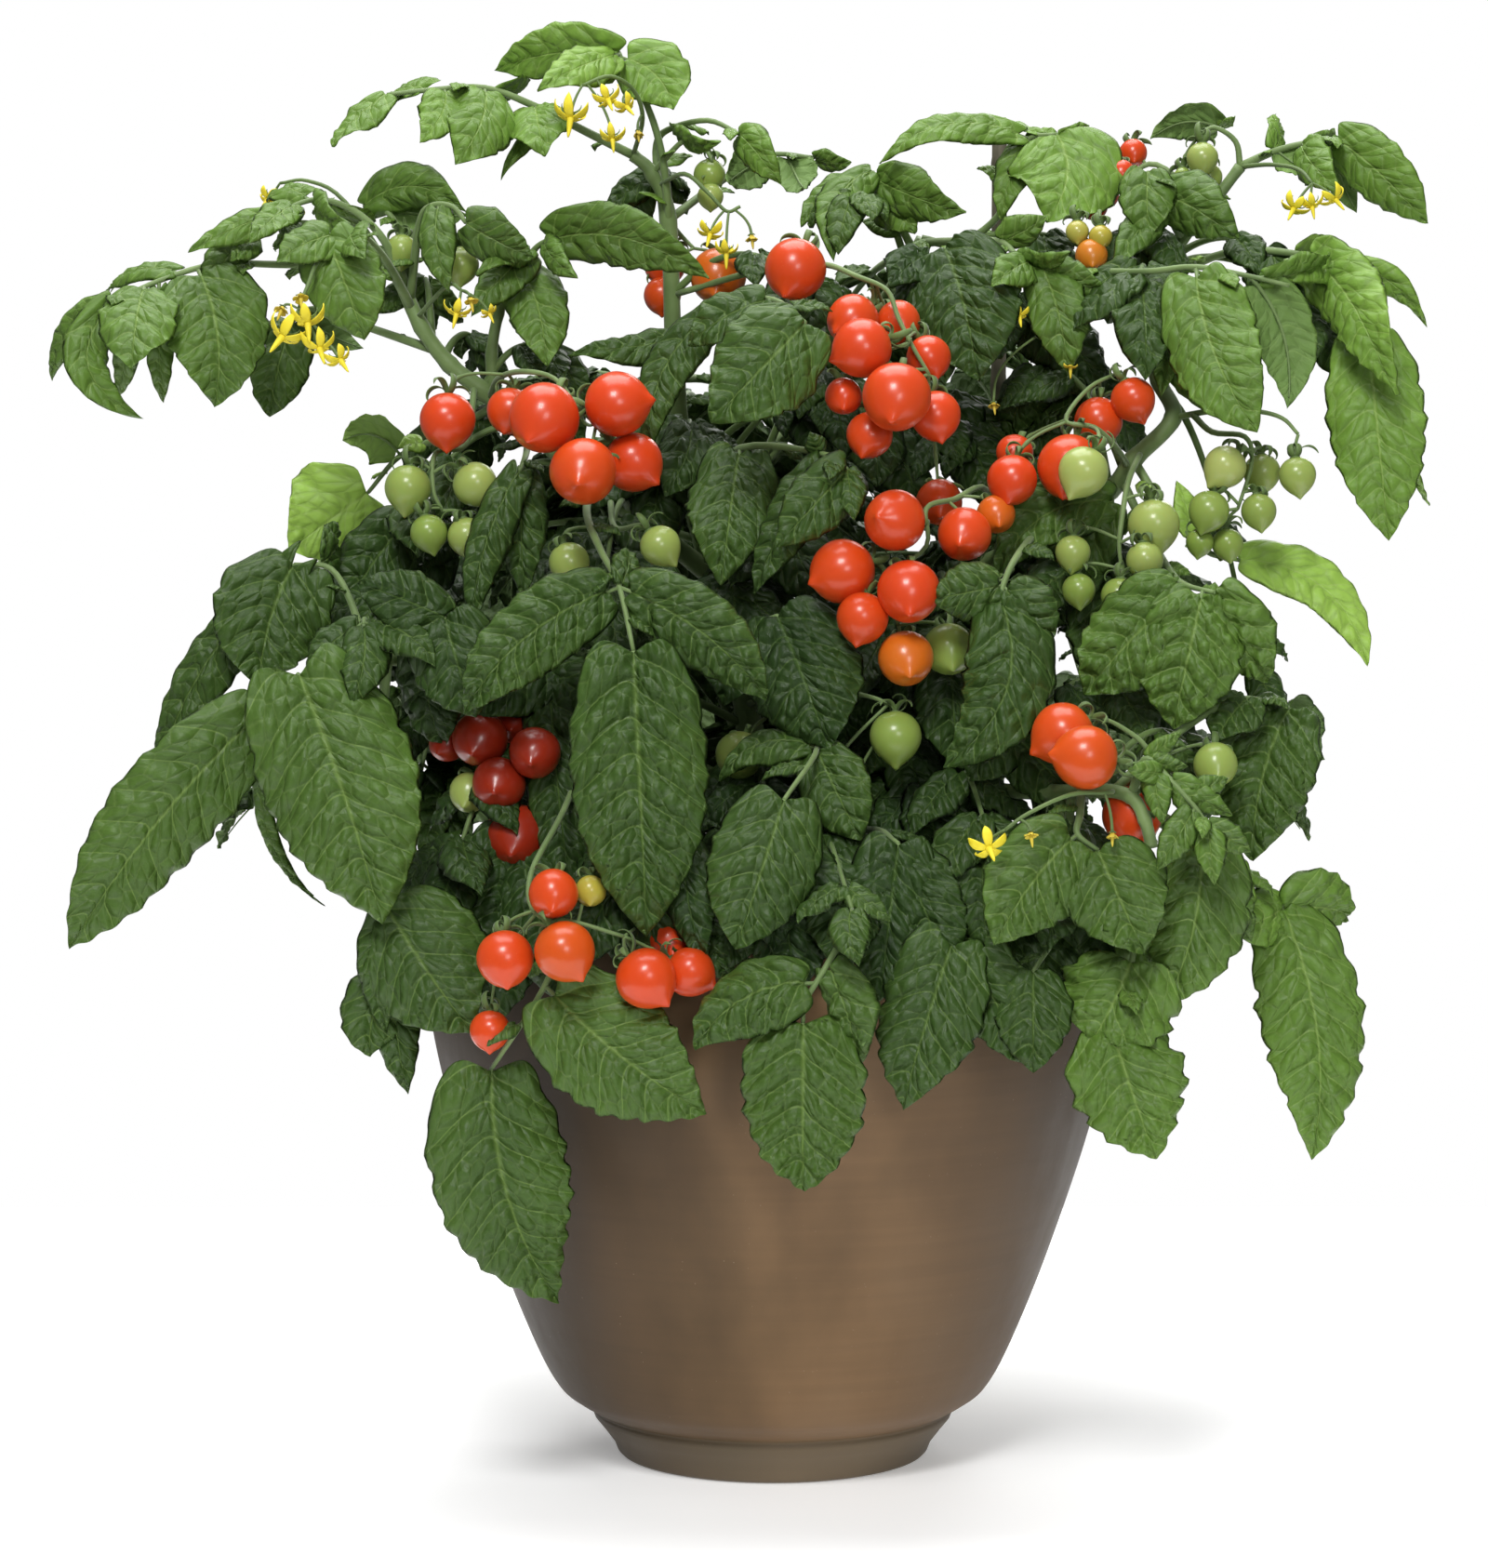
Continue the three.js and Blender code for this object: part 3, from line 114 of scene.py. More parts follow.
LEAVES = {
  "leaf_top_left": {"on": ["main_stem", 9], "looks": [0.72, 0.3, 0.1],
    "stalk": [[-80, 566, -4], [-102, 577, -8], [-124, 585, -12], [-148, 584, -16], [-166, 582, -18]],
    "blades": [[5, -190, 560, -34, 20, 50, 0.03, 0], [3.7, -152, 562, -38, 22, 15, 0.05, -0.12],
      [3, -136, 553, -42, 31, 0, 0.08, -0.08], [4, -165, 581, 34, 22, 70, 0.04, 0],
      [3, -112, 588, 34, 26, 75, 0.12, 0], [2, -98, 556, -38, 28, 5, 0.1, 0],
      [1.4, -117, 545, -16, 9, 30, 0.1, 0.1]]},
  "leaf_top": {"on": ["main_stem", 6.9], "looks": [0.8, 0.25, 0.1],
    "stalk": [[-46, 545, -4], [-50, 566, -8], [-57, 584, -10], [-64, 595, -10], [-66, 600, -10]],
    "blades": [[5, -121, 592, 12, 25, -15, -0.03, 0.06], [4.9, -101, 585, -48, 22, 30, 0.05, 0],
      [4.6, -43, 576, -24, 30, -10, -0.04, -0.15], [4.4, -86, 589, -8, 16, -10, -0.04, 0]]},
  "leaf_far_left": {"on": ["shoot_left", 6], "looks": [0.6, 0.26, 0.08],
    "stalk": [[-172, 508, -30], [-212, 509, -36], [-240, 509, -42], [-264, 502, -48], [-284, 493, -52]],
    "blades": [[3.3, -240, 447, -60, 46, 0, 0.12, -0.08], [5, -270, 443, -58, 20, -20, 0, 0.36],
      [4.9, -312, 458, -20, 15, 20, 0.04, 0.1], [4.8, -284, 450, -10, 12, 20, 0.06, -0.08],
      [4.3, -276, 464, -85, 34, 10, 0.1, 0], [4, -262, 447, -30, 13, 10, 0.1, 0],
      [3.6, -287, 495, -20, 16, 70, 0.15, 0]]},
  "leaf_upper_left": {"on": ["shoot_left", 5.8], "looks": [0.66, 0.26, 0.08],
    "stalk": [[-167, 519, -36], [-180, 532, -38], [-196, 537, -42], [-212, 532, -48]],
    "blades": [[4, -252, 515, -58, 15, 30, 0.03, 0], [3.6, -225, 519, -85, 17, 30, 0.04, 0],
      [3, -183, 526, -80, 18, 50, 0.1, 0], [3.2, -215, 535, 5, 18, 70, 0.12, 0],
      [2.4, -172, 528, 5, 16, 60, 0.1, 0]]},
  "leaf_left_droop": {"on": ["shoot_left", 5.4], "looks": [0.62, 0.25, 0.08],
    "stalk": [[-168, 513, -60], [-180, 523, -82], [-192, 521, -88]],
    "blades": [[3, -176, 476, -96, 35, 0, 0.1, -0.02], [2.7, -214, 510, -100, 22, 30, 0.1, 0],
      [2, -176, 512, -110, 18, 30, 0.1, 0]]},
  "leaf_left_inner": {"on": ["shoot_left_inner", 3], "looks": [0.58, 0.3, 0.08],
    "stalk": [[-106, 511, -34], [-101, 517, -40], [-96, 520, -44]],
    "blades": [[3, -28, 502, -66, 28, 20, 0.03, -0.14], [2.6, -84, 503, -72, 14, 30, 0.1, 0],
      [1.6, -128, 506, -66, 14, 40, 0.1, 0], [0.6, -97, 465, -62, 27, 0, 0.1, -0.05],
      [1.5, -130, 487, -60, 20, 20, 0.1, 0]]},
  "leaf_centre": {"on": ["main_stem", 6.2], "looks": [0.36, 0.5, 0.08],
    "stalk": [[-36, 478, -30], [-20, 492, -60], [0, 494, -90], [14, 484, -114]],
    "blades": [[1, -89, 471, -52, 18, 35, 0.1, -0.1], [3, -37, 474, -94, 26, 35, 0.12, 0],
      [2, -54, 425, -84, 24, 25, 0.1, 0.1], [4, -27, 441, -128, 46, 0, 0.08, 0]]},
  "leaf_mid_top": {"on": ["shoot_mid", 3.7], "looks": [0.62, 0.26, 0.1],
    "stalk": [[54, 527, 22], [46, 537, 15], [43, 549, 8]],
    "blades": [[3, 27, 511, -22, 20, 10, 0.1, 0.16], [2.6, 12, 525, 0, 18, 40, 0.12, 0.1],
      [2.8, 83, 531, -20, 24, 20, 0.06, 0], [2.2, 61, 522, 0, 24, 20, 0.06, -0.1]]},
  "leaf_cane_side": {"on": ["shoot_mid", 4], "looks": [0.72, 0.3, 0.08],
    "stalk": [[80, 518, 28], [97, 530, 22], [104, 550, 12], [110, 563, 4], [122, 565, 0]],
    "blades": [[5, 118, 528, -24, 50, 0, 0.04, -0.14], [4, 97, 528, -10, 18, 20, 0.1, 0],
      [4, 44, 555, -14, 20, 45, 0.14, 0.05], [5, 136, 569, 20, 12, 60, 0.1, 0],
      [4.5, 84, 573, 40, 10, 70, 0.02, 0]]},
  "leaf_mid_right": {"on": ["shoot_mid", 3.9], "looks": [0.6, 0.4, 0.1],
    "stalk": [[76, 519, 8], [97, 519, -22], [106, 512, -40], [116, 508, -52]],
    "blades": [[4, 127, 462, -66, 27, 5, 0.1, -0.05], [3.5, 94, 500, -70, 20, 20, 0.1, 0],
      [4, 146, 497, -60, 18, 20, 0.1, 0], [2, 118, 530, -30, 16, 20, 0.1, 0],
      [3, 128, 514, -70, 14, 50, 0.1, 0]]},
  "leaf_mid_dark": {"on": ["shoot_mid", 3.3], "looks": [0.15, 0.6, 0.08],
    "stalk": [[64, 510, 0], [74, 516, -34]],
    "blades": [[2, 88, 459, -70, 52, 10, 0.08, -0.05], [1.5, 74, 457, -62, 38, 15, 0.1, 0],
      [1.4, 50, 500, -50, 26, 30, 0.1, 0]]},
  "leaf_right_top": {"on": ["shoot_right", 12], "looks": [0.72, 0.28, 0.1],
    "stalk": [[214, 557, -4], [228, 561, -8], [243, 563, -12]],
    "blades": [[3, 281, 526, -30, 27, 15, 0.06, -0.06], [2.7, 251, 531, 0, 16, 170, 0.1, 0],
      [2, 244, 540, -40, 20, 20, 0.12, 0], [1, 216, 573, 20, 16, 60, 0.1, 0],
      [2, 240, 566, 34, 16, 70, 0.1, 0], [1.2, 232, 549, -20, 14, 150, 0.1, 0]]},
  "leaf_right_mid": {"on": ["shoot_right", 10], "looks": [0.52, 0.4, 0.08],
    "stalk": [[168, 535, -16], [161, 549, -24]],
    "blades": [[2, 161, 520, -34, 25, 0, 0.1, 0], [1.3, 200, 519, -40, 28, 15, 0.12, -0.1],
      [1, 146, 506, -45, 18, 20, 0.1, 0]]},
  "leaf_right_hero": {"on": ["shoot_mid", 2.9], "looks": [0.66, 0.32, 0.08],
    "stalk": [[90, 503, 6], [122, 506, -24], [160, 506, -62], [182, 508, -76], [205, 504, -82],
      [222, 500, -86]],
    "blades": [[4, 208, 437, -112, 42, 10, 0.06, 0.05], [5, 220, 446, -84, 28, 160, 0.04, 0.15],
      [5.2, 240, 514, -60, 18, 50, 0.1, 0]]},
  "leaf_far_right": {"on": ["shoot_right", 8.8], "looks": [0.79, 0.34, 0.08],
    "stalk": [[195, 514, -20], [222, 514, -34], [240, 508, -44], [250, 494, -52], [256, 478, -56]],
    "blades": [[5, 265, 390, -74, 42, 0, 0.08, 0], [2.3, 266, 452, -92, 32, 20, 0.1, -0.12],
      [3, 281, 481, -50, 14, 25, 0.12, -0.25], [3, 216, 502, -80, 22, 40, 0.1, 0],
      [4.6, 281, 404, -30, 18, 60, 0.1, -0.15], [2, 238, 520, 0, 18, 60, 0.1, 0]]},
  "leaf_right_bright": {"on": ["shoot_right", 5], "looks": [1, 0.35, 0.06],
    "stalk": [[170, 402, -66], [186, 386, -66], [200, 382, -64]],
    "blades": [[3, 257, 338, -68, 25, -30, -0.03, -0.22], [1.6, 174, 417, -60, 12, 20, 0.1, 0]]},
  "leaf_right_crinkled": {"on": ["shoot_right", 4.4], "looks": [0.57, 1, 0.08],
    "stalk": [[162, 392, -64], [172, 376, -96], [178, 371, -116], [190, 368, -124]],
    "blades": [[3, 133, 324, -128, 44, 10, 0.08, 0], [3.6, 172, 309, -134, 46, 0, 0.08, 0],
      [4, 214, 330, -120, 34, 20, 0.1, 0]]},
  "leaf_right_low": {"on": ["shoot_low_right", 6.4], "looks": [0.34, 0.9, 0.08],
    "stalk": [[172, 306, -136], [200, 322, -116], [222, 318, -108]],
    "blades": [[3, 206, 252, -124, 44, 5, 0.08, 0.05], [3, 237, 296, -90, 26, 150, 0.08, 0],
      [2.2, 190, 304, -130, 26, 20, 0.1, 0]]},
  "leaf_mid_hero": {"on": ["shoot_right", 3], "looks": [0.32, 0.8, 0.08],
    "stalk": [[112, 392, -80], [104, 382, -118], [99, 371, -126], [98, 364, -128]],
    "blades": [[4, 72, 293, -142, 40, 0, 0.08, -0.2], [3, 68, 365, -130, 26, 0, 0.08, 0],
      [3, 120, 346, -128, 30, 5, 0.08, 0]]},
  "leaf_right_hanging": {"on": ["shoot_low_right", 6], "looks": [0.67, 0.6, 0.12],
    "stalk": [[172, 266, -130], [195, 254, -120], [208, 242, -112], [219, 232, -108]],
    "blades": [[4, 233, 123, -128, 46, -15, 0.05, -0.06], [4, 248, 228, -90, 32, 20, 0.08, -0.12],
      [4, 199, 222, -125, 26, -10, 0.1, 0], [2, 181, 199, -140, 34, 5, 0.08, 0]]},
  "leaf_low_right": {"on": ["shoot_low_right", 5.6], "looks": [0.46, 0.6, 0.08],
    "stalk": [[132, 272, -156], [131, 264, -162], [140, 257, -164]],
    "blades": [[2, 95, 216, -176, 44, 0, 0.08, 0.05], [3, 160, 212, -178, 46, 0, 0.08, 0]]},
  "leaf_bottom_right": {"on": ["shoot_low_right", 5], "looks": [0.58, 0.7, 0.16],
    "stalk": [[138, 250, -130], [150, 232, -145], [155, 212, -156], [146, 180, -160]],
    "blades": [[3, 136, 173, -160, 53, 5, 0.08, -0.04], [4, 165, 124, -166, 50, 0, 0.06, 0.01],
      [2.4, 174, 197, -140, 26, 15, 0.08, 0]]},
  "leaf_pot_right": {"on": ["shoot_low_right", 2.6], "looks": [0.24, 0.5, 0.1],
    "stalk": [[78, 262, -86], [82, 240, -124], [79, 224, -148], [77, 217, -158]],
    "blades": [[4, 55, 145, -172, 46, 5, 0.06, 0], [3, 112, 163, -166, 34, 5, 0.08, 0],
      [1, 67, 223, -110, 26, 0, 0.08, 0]]},
  "leaf_low_centre": {"on": ["main_stem", 2.6], "looks": [0.32, 0.55, 0.05],
    "stalk": [[4, 300, -50], [19, 301, -118], [5, 279, -160]],
    "blades": [[3, -16, 214, -176, 48, 0, 0.06, 0], [2, 38, 261, -140, 32, 5, 0.08, 0],
      [2, -24, 287, -120, 20, 40, 0.12, 0.15]]},
  "leaf_pot_front": {"on": ["main_stem", 1.6], "looks": [0.42, 0.9, 0.08],
    "stalk": [[16, 262, -60], [30, 245, -115], [33, 227, -154], [24, 209, -174], [14, 192, -178],
      [13, 183, -178]],
    "blades": [[6, 13, 110, -178, 54, 0, 0.06, 0], [4.5, -34, 171, -180, 36, 25, 0.08, 0.12],
      [4, 38, 165, -172, 26, 30, 0.1, -0.1]]},
  "leaf_middle": {"on": ["main_stem", 5], "looks": [0.3, 0.6, 0.08],
    "stalk": [[-14, 430, -62], [20, 428, -95], [32, 421, -105]],
    "blades": [[1, -22, 372, -110, 40, 5, 0.08, 0], [3, 1, 387, -120, 28, 0, 0.08, 0],
      [3, 35, 399, -118, 16, 0, 0.1, 0], [2, 16, 437, -100, 10, 0, 0.1, 0],
      [2.2, -8, 367, -100, 24, 20, 0.1, 0]]},
  "leaf_left_mid": {"on": ["shoot_low_left", 4], "looks": [0.2, 0.6, 0.08],
    "stalk": [[-146, 350, -108], [-141, 357, -118]],
    "blades": [[2, -128, 314, -130, 42, 5, 0.08, 0], [2, -179, 372, -118, 28, 10, 0.1, 0],
      [1, -141, 301, -95, 32, 20, 0.06, 0.07]]},
  "leaf_hero": {"on": ["shoot_left", 1.2], "looks": [0.38, 0.8, 0.06],
    "stalk": [[-80, 402, -90], [-74, 386, -122], [-66, 370, -136], [-60, 343, -150]],
    "blades": [[4, -54, 219, -175, 60, 0, 0.05, 0], [3, -134, 315, -145, 36, 10, 0.1, 0.08],
      [3, -2, 321, -140, 34, 10, 0.1, -0.1], [3, -62, 387, -120, 16, 30, 0.1, 0]]},
  "leaf_left_bright": {"on": ["shoot_left", 2.6], "looks": [1, 0.3, 0.08],
    "stalk": [[-140, 436, -6], [-160, 427, 2], [-174, 411, 0]],
    "blades": [[3, -208, 386, -4, 47, -10, -0.05, 0], [2, -185, 434, 6, 24, 150, 0.06, -0.2]]},
  "leaf_left_fold": {"on": ["shoot_low_left", 5], "looks": [0.36, 0.5, 0.08],
    "stalk": [[-180, 360, -84], [-190, 378, -74], [-206, 380, -78]],
    "blades": [[3, -221, 327, -96, 51, 0, 0.08, 0.06], [2.4, -190, 394, -40, 24, 60, 0.1, 0],
      [3, -268, 276, -66, 26, 30, 0.08, 0.05]]},
  "leaf_left_low": {"on": ["shoot_low_left", 7], "looks": [0.47, 0.55, 0.06],
    "stalk": [[-204, 333, -130]],
    "blades": [[1, -168, 225, -150, 68, 0, 0.06, -0.02]]},
  "leaf_left_tip": {"on": ["shoot_low_left", 6.4], "looks": [0.46, 0.4, 0.08],
    "stalk": [[-213, 320, -102], [-218, 318, -102], [-223, 314, -100]],
    "blades": [[3, -303, 213, -98, 46, -10, 0.06, 0.05], [1, -194, 230, -84, 10, 40, 0.1, 0.13]]},
  "leaf_low_left": {"on": ["shoot_low_left", 4.6], "looks": [0.34, 0.5, 0.06],
    "stalk": [[-170, 290, -112], [-170, 250, -128], [-166, 233, -132]],
    "blades": [[3, -129, 178, -146, 58, 10, 0.08, 0], [3, -166, 178, -128, 20, 10, 0.06, 0.05]]},
  "leaf_pot_left": {"on": ["shoot_low_left", 1.6], "looks": [0.45, 0.5, 0.08],
    "stalk": [[-72, 258, -110], [-82, 238, -140], [-98, 199, -158], [-121, 163, -138]],
    "blades": [[3, -28, 143, -168, 56, 5, 0.07, 0.03], [4, -90, 61, -124, 60, -5, 0.06, 0.09]]},
}

SMALL_LEAVES = {
  "leaf_rim_left": {"on": ["main_stem", 1.6], "looks": [0.10, 0.6, 0.08],
    "stalk": [[-40, 266, -100], [-56, 264, -146]],
    "blades": [[2, -50, 190, -158, 46, 0, 0.03, 0], [1.9, -88, 206, -158, 34, 5, 0.05, 0],
      [1.9, -18, 200, -158, 36, 5, 0.05, 0]]},
  "leaf_rim_centre": {"on": ["main_stem", 1.5], "looks": [0.08, 0.6, 0.08],
    "stalk": [[0, 268, -100], [2, 264, -148]],
    "blades": [[2, 10, 194, -158, 44, 0, 0.03, 0], [1.9, -24, 204, -158, 34, 5, 0.05, 0],
      [1.9, 34, 206, -158, 34, 5, 0.05, 0]]},
  "leaf_rim_middle": {"on": ["main_stem", 1.8], "looks": [0.10, 0.6, 0.08],
    "stalk": [[40, 266, -100], [54, 260, -146]],
    "blades": [[2, 46, 192, -158, 42, 0, 0.03, 0], [1.9, 78, 204, -158, 36, 5, 0.05, 0],
      [1.9, 24, 208, -158, 30, 5, 0.05, 0]]},
  "leaf_rim_right": {"on": ["shoot_low_right", 2.4], "looks": [0.20, 0.6, 0.08],
    "stalk": [[110, 272, -70], [120, 262, -104]],
    "blades": [[2, 112, 176, -124, 46, 0, 0.03, 0], [1.9, 144, 186, -108, 40, 5, 0.05, 0],
      [1.9, 92, 190, -132, 36, 5, 0.05, 0]]},
  "leaf_rim_far_left": {"on": ["shoot_low_left", 1.6], "looks": [0.14, 0.6, 0.08],
    "stalk": [[-96, 276, -74], [-112, 264, -108]],
    "blades": [[2, -122, 178, -122, 46, 0, 0.03, 0], [1.9, -144, 196, -108, 36, 5, 0.05, 0],
      [1.9, -90, 190, -134, 38, 5, 0.05, 0]]},
  "leaf_top_right": {"on": ["main_stem", 7.6], "looks": [0.7, 0.35, 0.08],
    "stalk": [[-50, 560, 8], [-45, 567, 4], [-28, 571, -6], [-14, 565, -12]],
    "blades": [[4, 3, 543, -26, 18, 25, 0.14, -0.1], [2.2, -23, 561, -34, 14, 55, 0.1, 0]]},
  "leaf_top_back": {"on": ["main_stem", 7], "looks": [0.6, 0.35, 0.1],
    "stalk": [[-22, 545, 36], [-2, 556, 32], [18, 555, 28]],
    "blades": [[2, -20, 544, 14, 20, 170, 0.1, 0], [2.4, 14, 541, 6, 20, 165, 0.1, 0],
      [3, 34, 553, 22, 12, 40, 0.1, 0]]},
  "leaf_left_arch": {"on": ["shoot_left", 5.7], "looks": [0.62, 0.4, 0.08],
    "stalk": [[-160, 520, -12], [-167, 533, -8], [-176, 534, -4]],
    "blades": [[3, -131, 531, -24, 21, 0, 0.06, -0.2], [2, -131, 530, 0, 20, 160, 0.1, 0]]},
  "leaf_left_hook": {"on": ["shoot_left", 5.5], "looks": [0.5, 0.45, 0.08],
    "stalk": [[-152, 526, -44], [-147, 534, -50], [-138, 534, -55], [-132, 527, -58]],
    "blades": [[2.4, -139, 497, -66, 17, 10, 0.1, 0.05], [4, -103, 512, -62, 24, 20, 0.04, 0]]},
  "leaf_right_back": {"on": ["shoot_right", 10.6], "looks": [0.66, 0.4, 0.1],
    "stalk": [[178, 545, 30], [184, 562, 34], [192, 568, 32]],
    "blades": [[3, 162, 563, 24, 18, 150, 0.04, -0.15], [3, 199, 573, 30, 10, 60, 0.1, 0]]},
  "leaf_behind_orange": {"on": ["shoot_low_right", 4.5], "looks": [0.2, 0.7, 0.08],
    "stalk": [[104, 300, -112], [102, 310, -112]],
    "blades": [[2, 84, 287, -118, 26, 10, 0.1, 0], [2, 136, 276, -116, 34, 15, 0.1, 0]]},
  "leaf_middle_low": {"on": ["main_stem", 3.5], "looks": [0.1, 0.6, 0.08],
    "stalk": [[-10, 352, -60], [2, 358, -100]],
    "blades": [[2, 24, 300, -122, 52, 10, 0.08, -0.03]]},
  "leaf_left_narrow": {"on": ["shoot_left", 2], "looks": [0.25, 0.6, 0.08],
    "stalk": [[-106, 428, -70], [-109, 420, -90]],
    "blades": [[2, -130, 350, -112, 20, 10, 0.06, 0.05], [1.5, -107, 364, -92, 22, 10, 0.08, 0]]},
  "leaf_left_under": {"on": ["shoot_left", 4.4], "looks": [0.5, 0.4, 0.08],
    "stalk": [[-174, 482, -14], [-198, 490, -4], [-207, 484, 0]],
    "blades": [[3, -217, 443, -8, 26, 10, 0.1, 0], [2.6, -176, 472, 6, 16, 160, 0.1, 0]]},
  "leaf_young": {"on": ["shoot_low_right", 7], "looks": [0.55, 0.5, 0.12],
    "stalk": [[160, 296, -160], [168, 290, -166], [178, 280, -170], [187, 268, -172]],
    "blades": [[1, 179, 293, -165, 10, 20, 0.1, 0], [2, 152, 292, -172, 11, 0, 0.1, 0],
      [4, 190, 242, -180, 15, 0, 0.1, 0], [4, 206, 256, -172, 14, 0, 0.1, 0],
      [1.5, 168, 268, -172, 14, 10, 0.1, 0], [2.6, 184, 274, -168, 13, 10, 0.1, 0],
      [2.2, 198, 272, -166, 14, 10, 0.1, 0],
      [3.4, 165, 248, -178, 16, 0, 0.1, 0], [3, 196, 288, -165, 12, 0, 0.1, 0],
      [1, 176, 308, -160, 9, 0, 0.1, 0]]},
  "leaf_left_dark": {"on": ["shoot_low_left", 2.4], "looks": [0.12, 0.6, 0.08],
    "stalk": [[-96, 335, -90]],
    "blades": [[1, -130, 315, -105, 28, 20, 0.08, 0], [1, -72, 318, -100, 26, 10, 0.1, 0],
      [1, -86, 230, -116, 30, 10, 0.06, 0]]},
  "leaf_inner_low": {"on": ["main_stem", 2], "looks": [0.1, 0.6, 0.08],
    "stalk": [[-30, 275, -100], [-40, 262, -150]],
    "blades": [[2, -30, 208, -166, 26, 10, 0.08, 0]]},
  "leaf_behind_green": {"on": ["shoot_right", 4], "looks": [0.45, 0.7, 0.08],
    "stalk": [[146, 407, -70]],
    "blades": [[1, 95, 374, -85, 30, 10, 0.12, 0.15], [1, 118, 361, -60, 30, 20, 0.1, 0]]},
  "leaf_low_left_b": {"on": ["shoot_low_left", 4.7], "looks": [0.35, 0.5, 0.1],
    "stalk": [[-165, 260, -110], [-164, 215, -118], [-164, 201, -120]],
    "blades": [[3, -173, 168, -124, 30, 5, 0.08, 0.1], [3, -157, 152, -116, 20, 10, 0.1, 0]]},
  "leaf_low_dark": {"on": ["shoot_low_right", 1.8], "looks": [0.12, 0.6, 0.08],
    "stalk": [[60, 278, -60], [69, 271, -90]],
    "blades": [[2, 67, 223, -104, 26, 0, 0.08, 0], [2, 97, 277, -90, 26, 20, 0.1, 0]]},
  "leaf_low_right_b": {"on": ["shoot_low_right", 6], "looks": [0.5, 0.6, 0.12],
    "stalk": [[168, 272, -146], [184, 262, -150]],
    "blades": [[2, 168, 190, -158, 44, 5, 0.06, -0.08], [1.8, 206, 216, -146, 26, 10, 0.08, 0]]},
  "leaf_right_fork": {"on": ["shoot_right", 9], "looks": [0.6, 0.45, 0.08],
    "stalk": [[172, 488, -50]],
    "blades": [[1, 187, 445, -72, 25, 10, 0.08, 0], [1, 167, 452, -70, 18, 5, 0.1, 0]]},
  "leaf_between": {"on": ["main_stem", 3.4], "looks": [0.08, 0.6, 0.08],
    "stalk": [[30, 346, -40]],
    "blades": [[1, 55, 304, -60, 34, 0, 0.06, 0], [1, 32, 300, -56, 30, 0, 0.06, 0]]},
  "leaf_low_fan": {"on": ["shoot_low_right", 5.4], "looks": [0.3, 0.6, 0.08],
    "stalk": [[125, 245, -120], [122, 222, -140], [112, 205, -160]],
    "blades": [[3, 112, 161, -172, 34, 0, 0.08, 0]]},
}

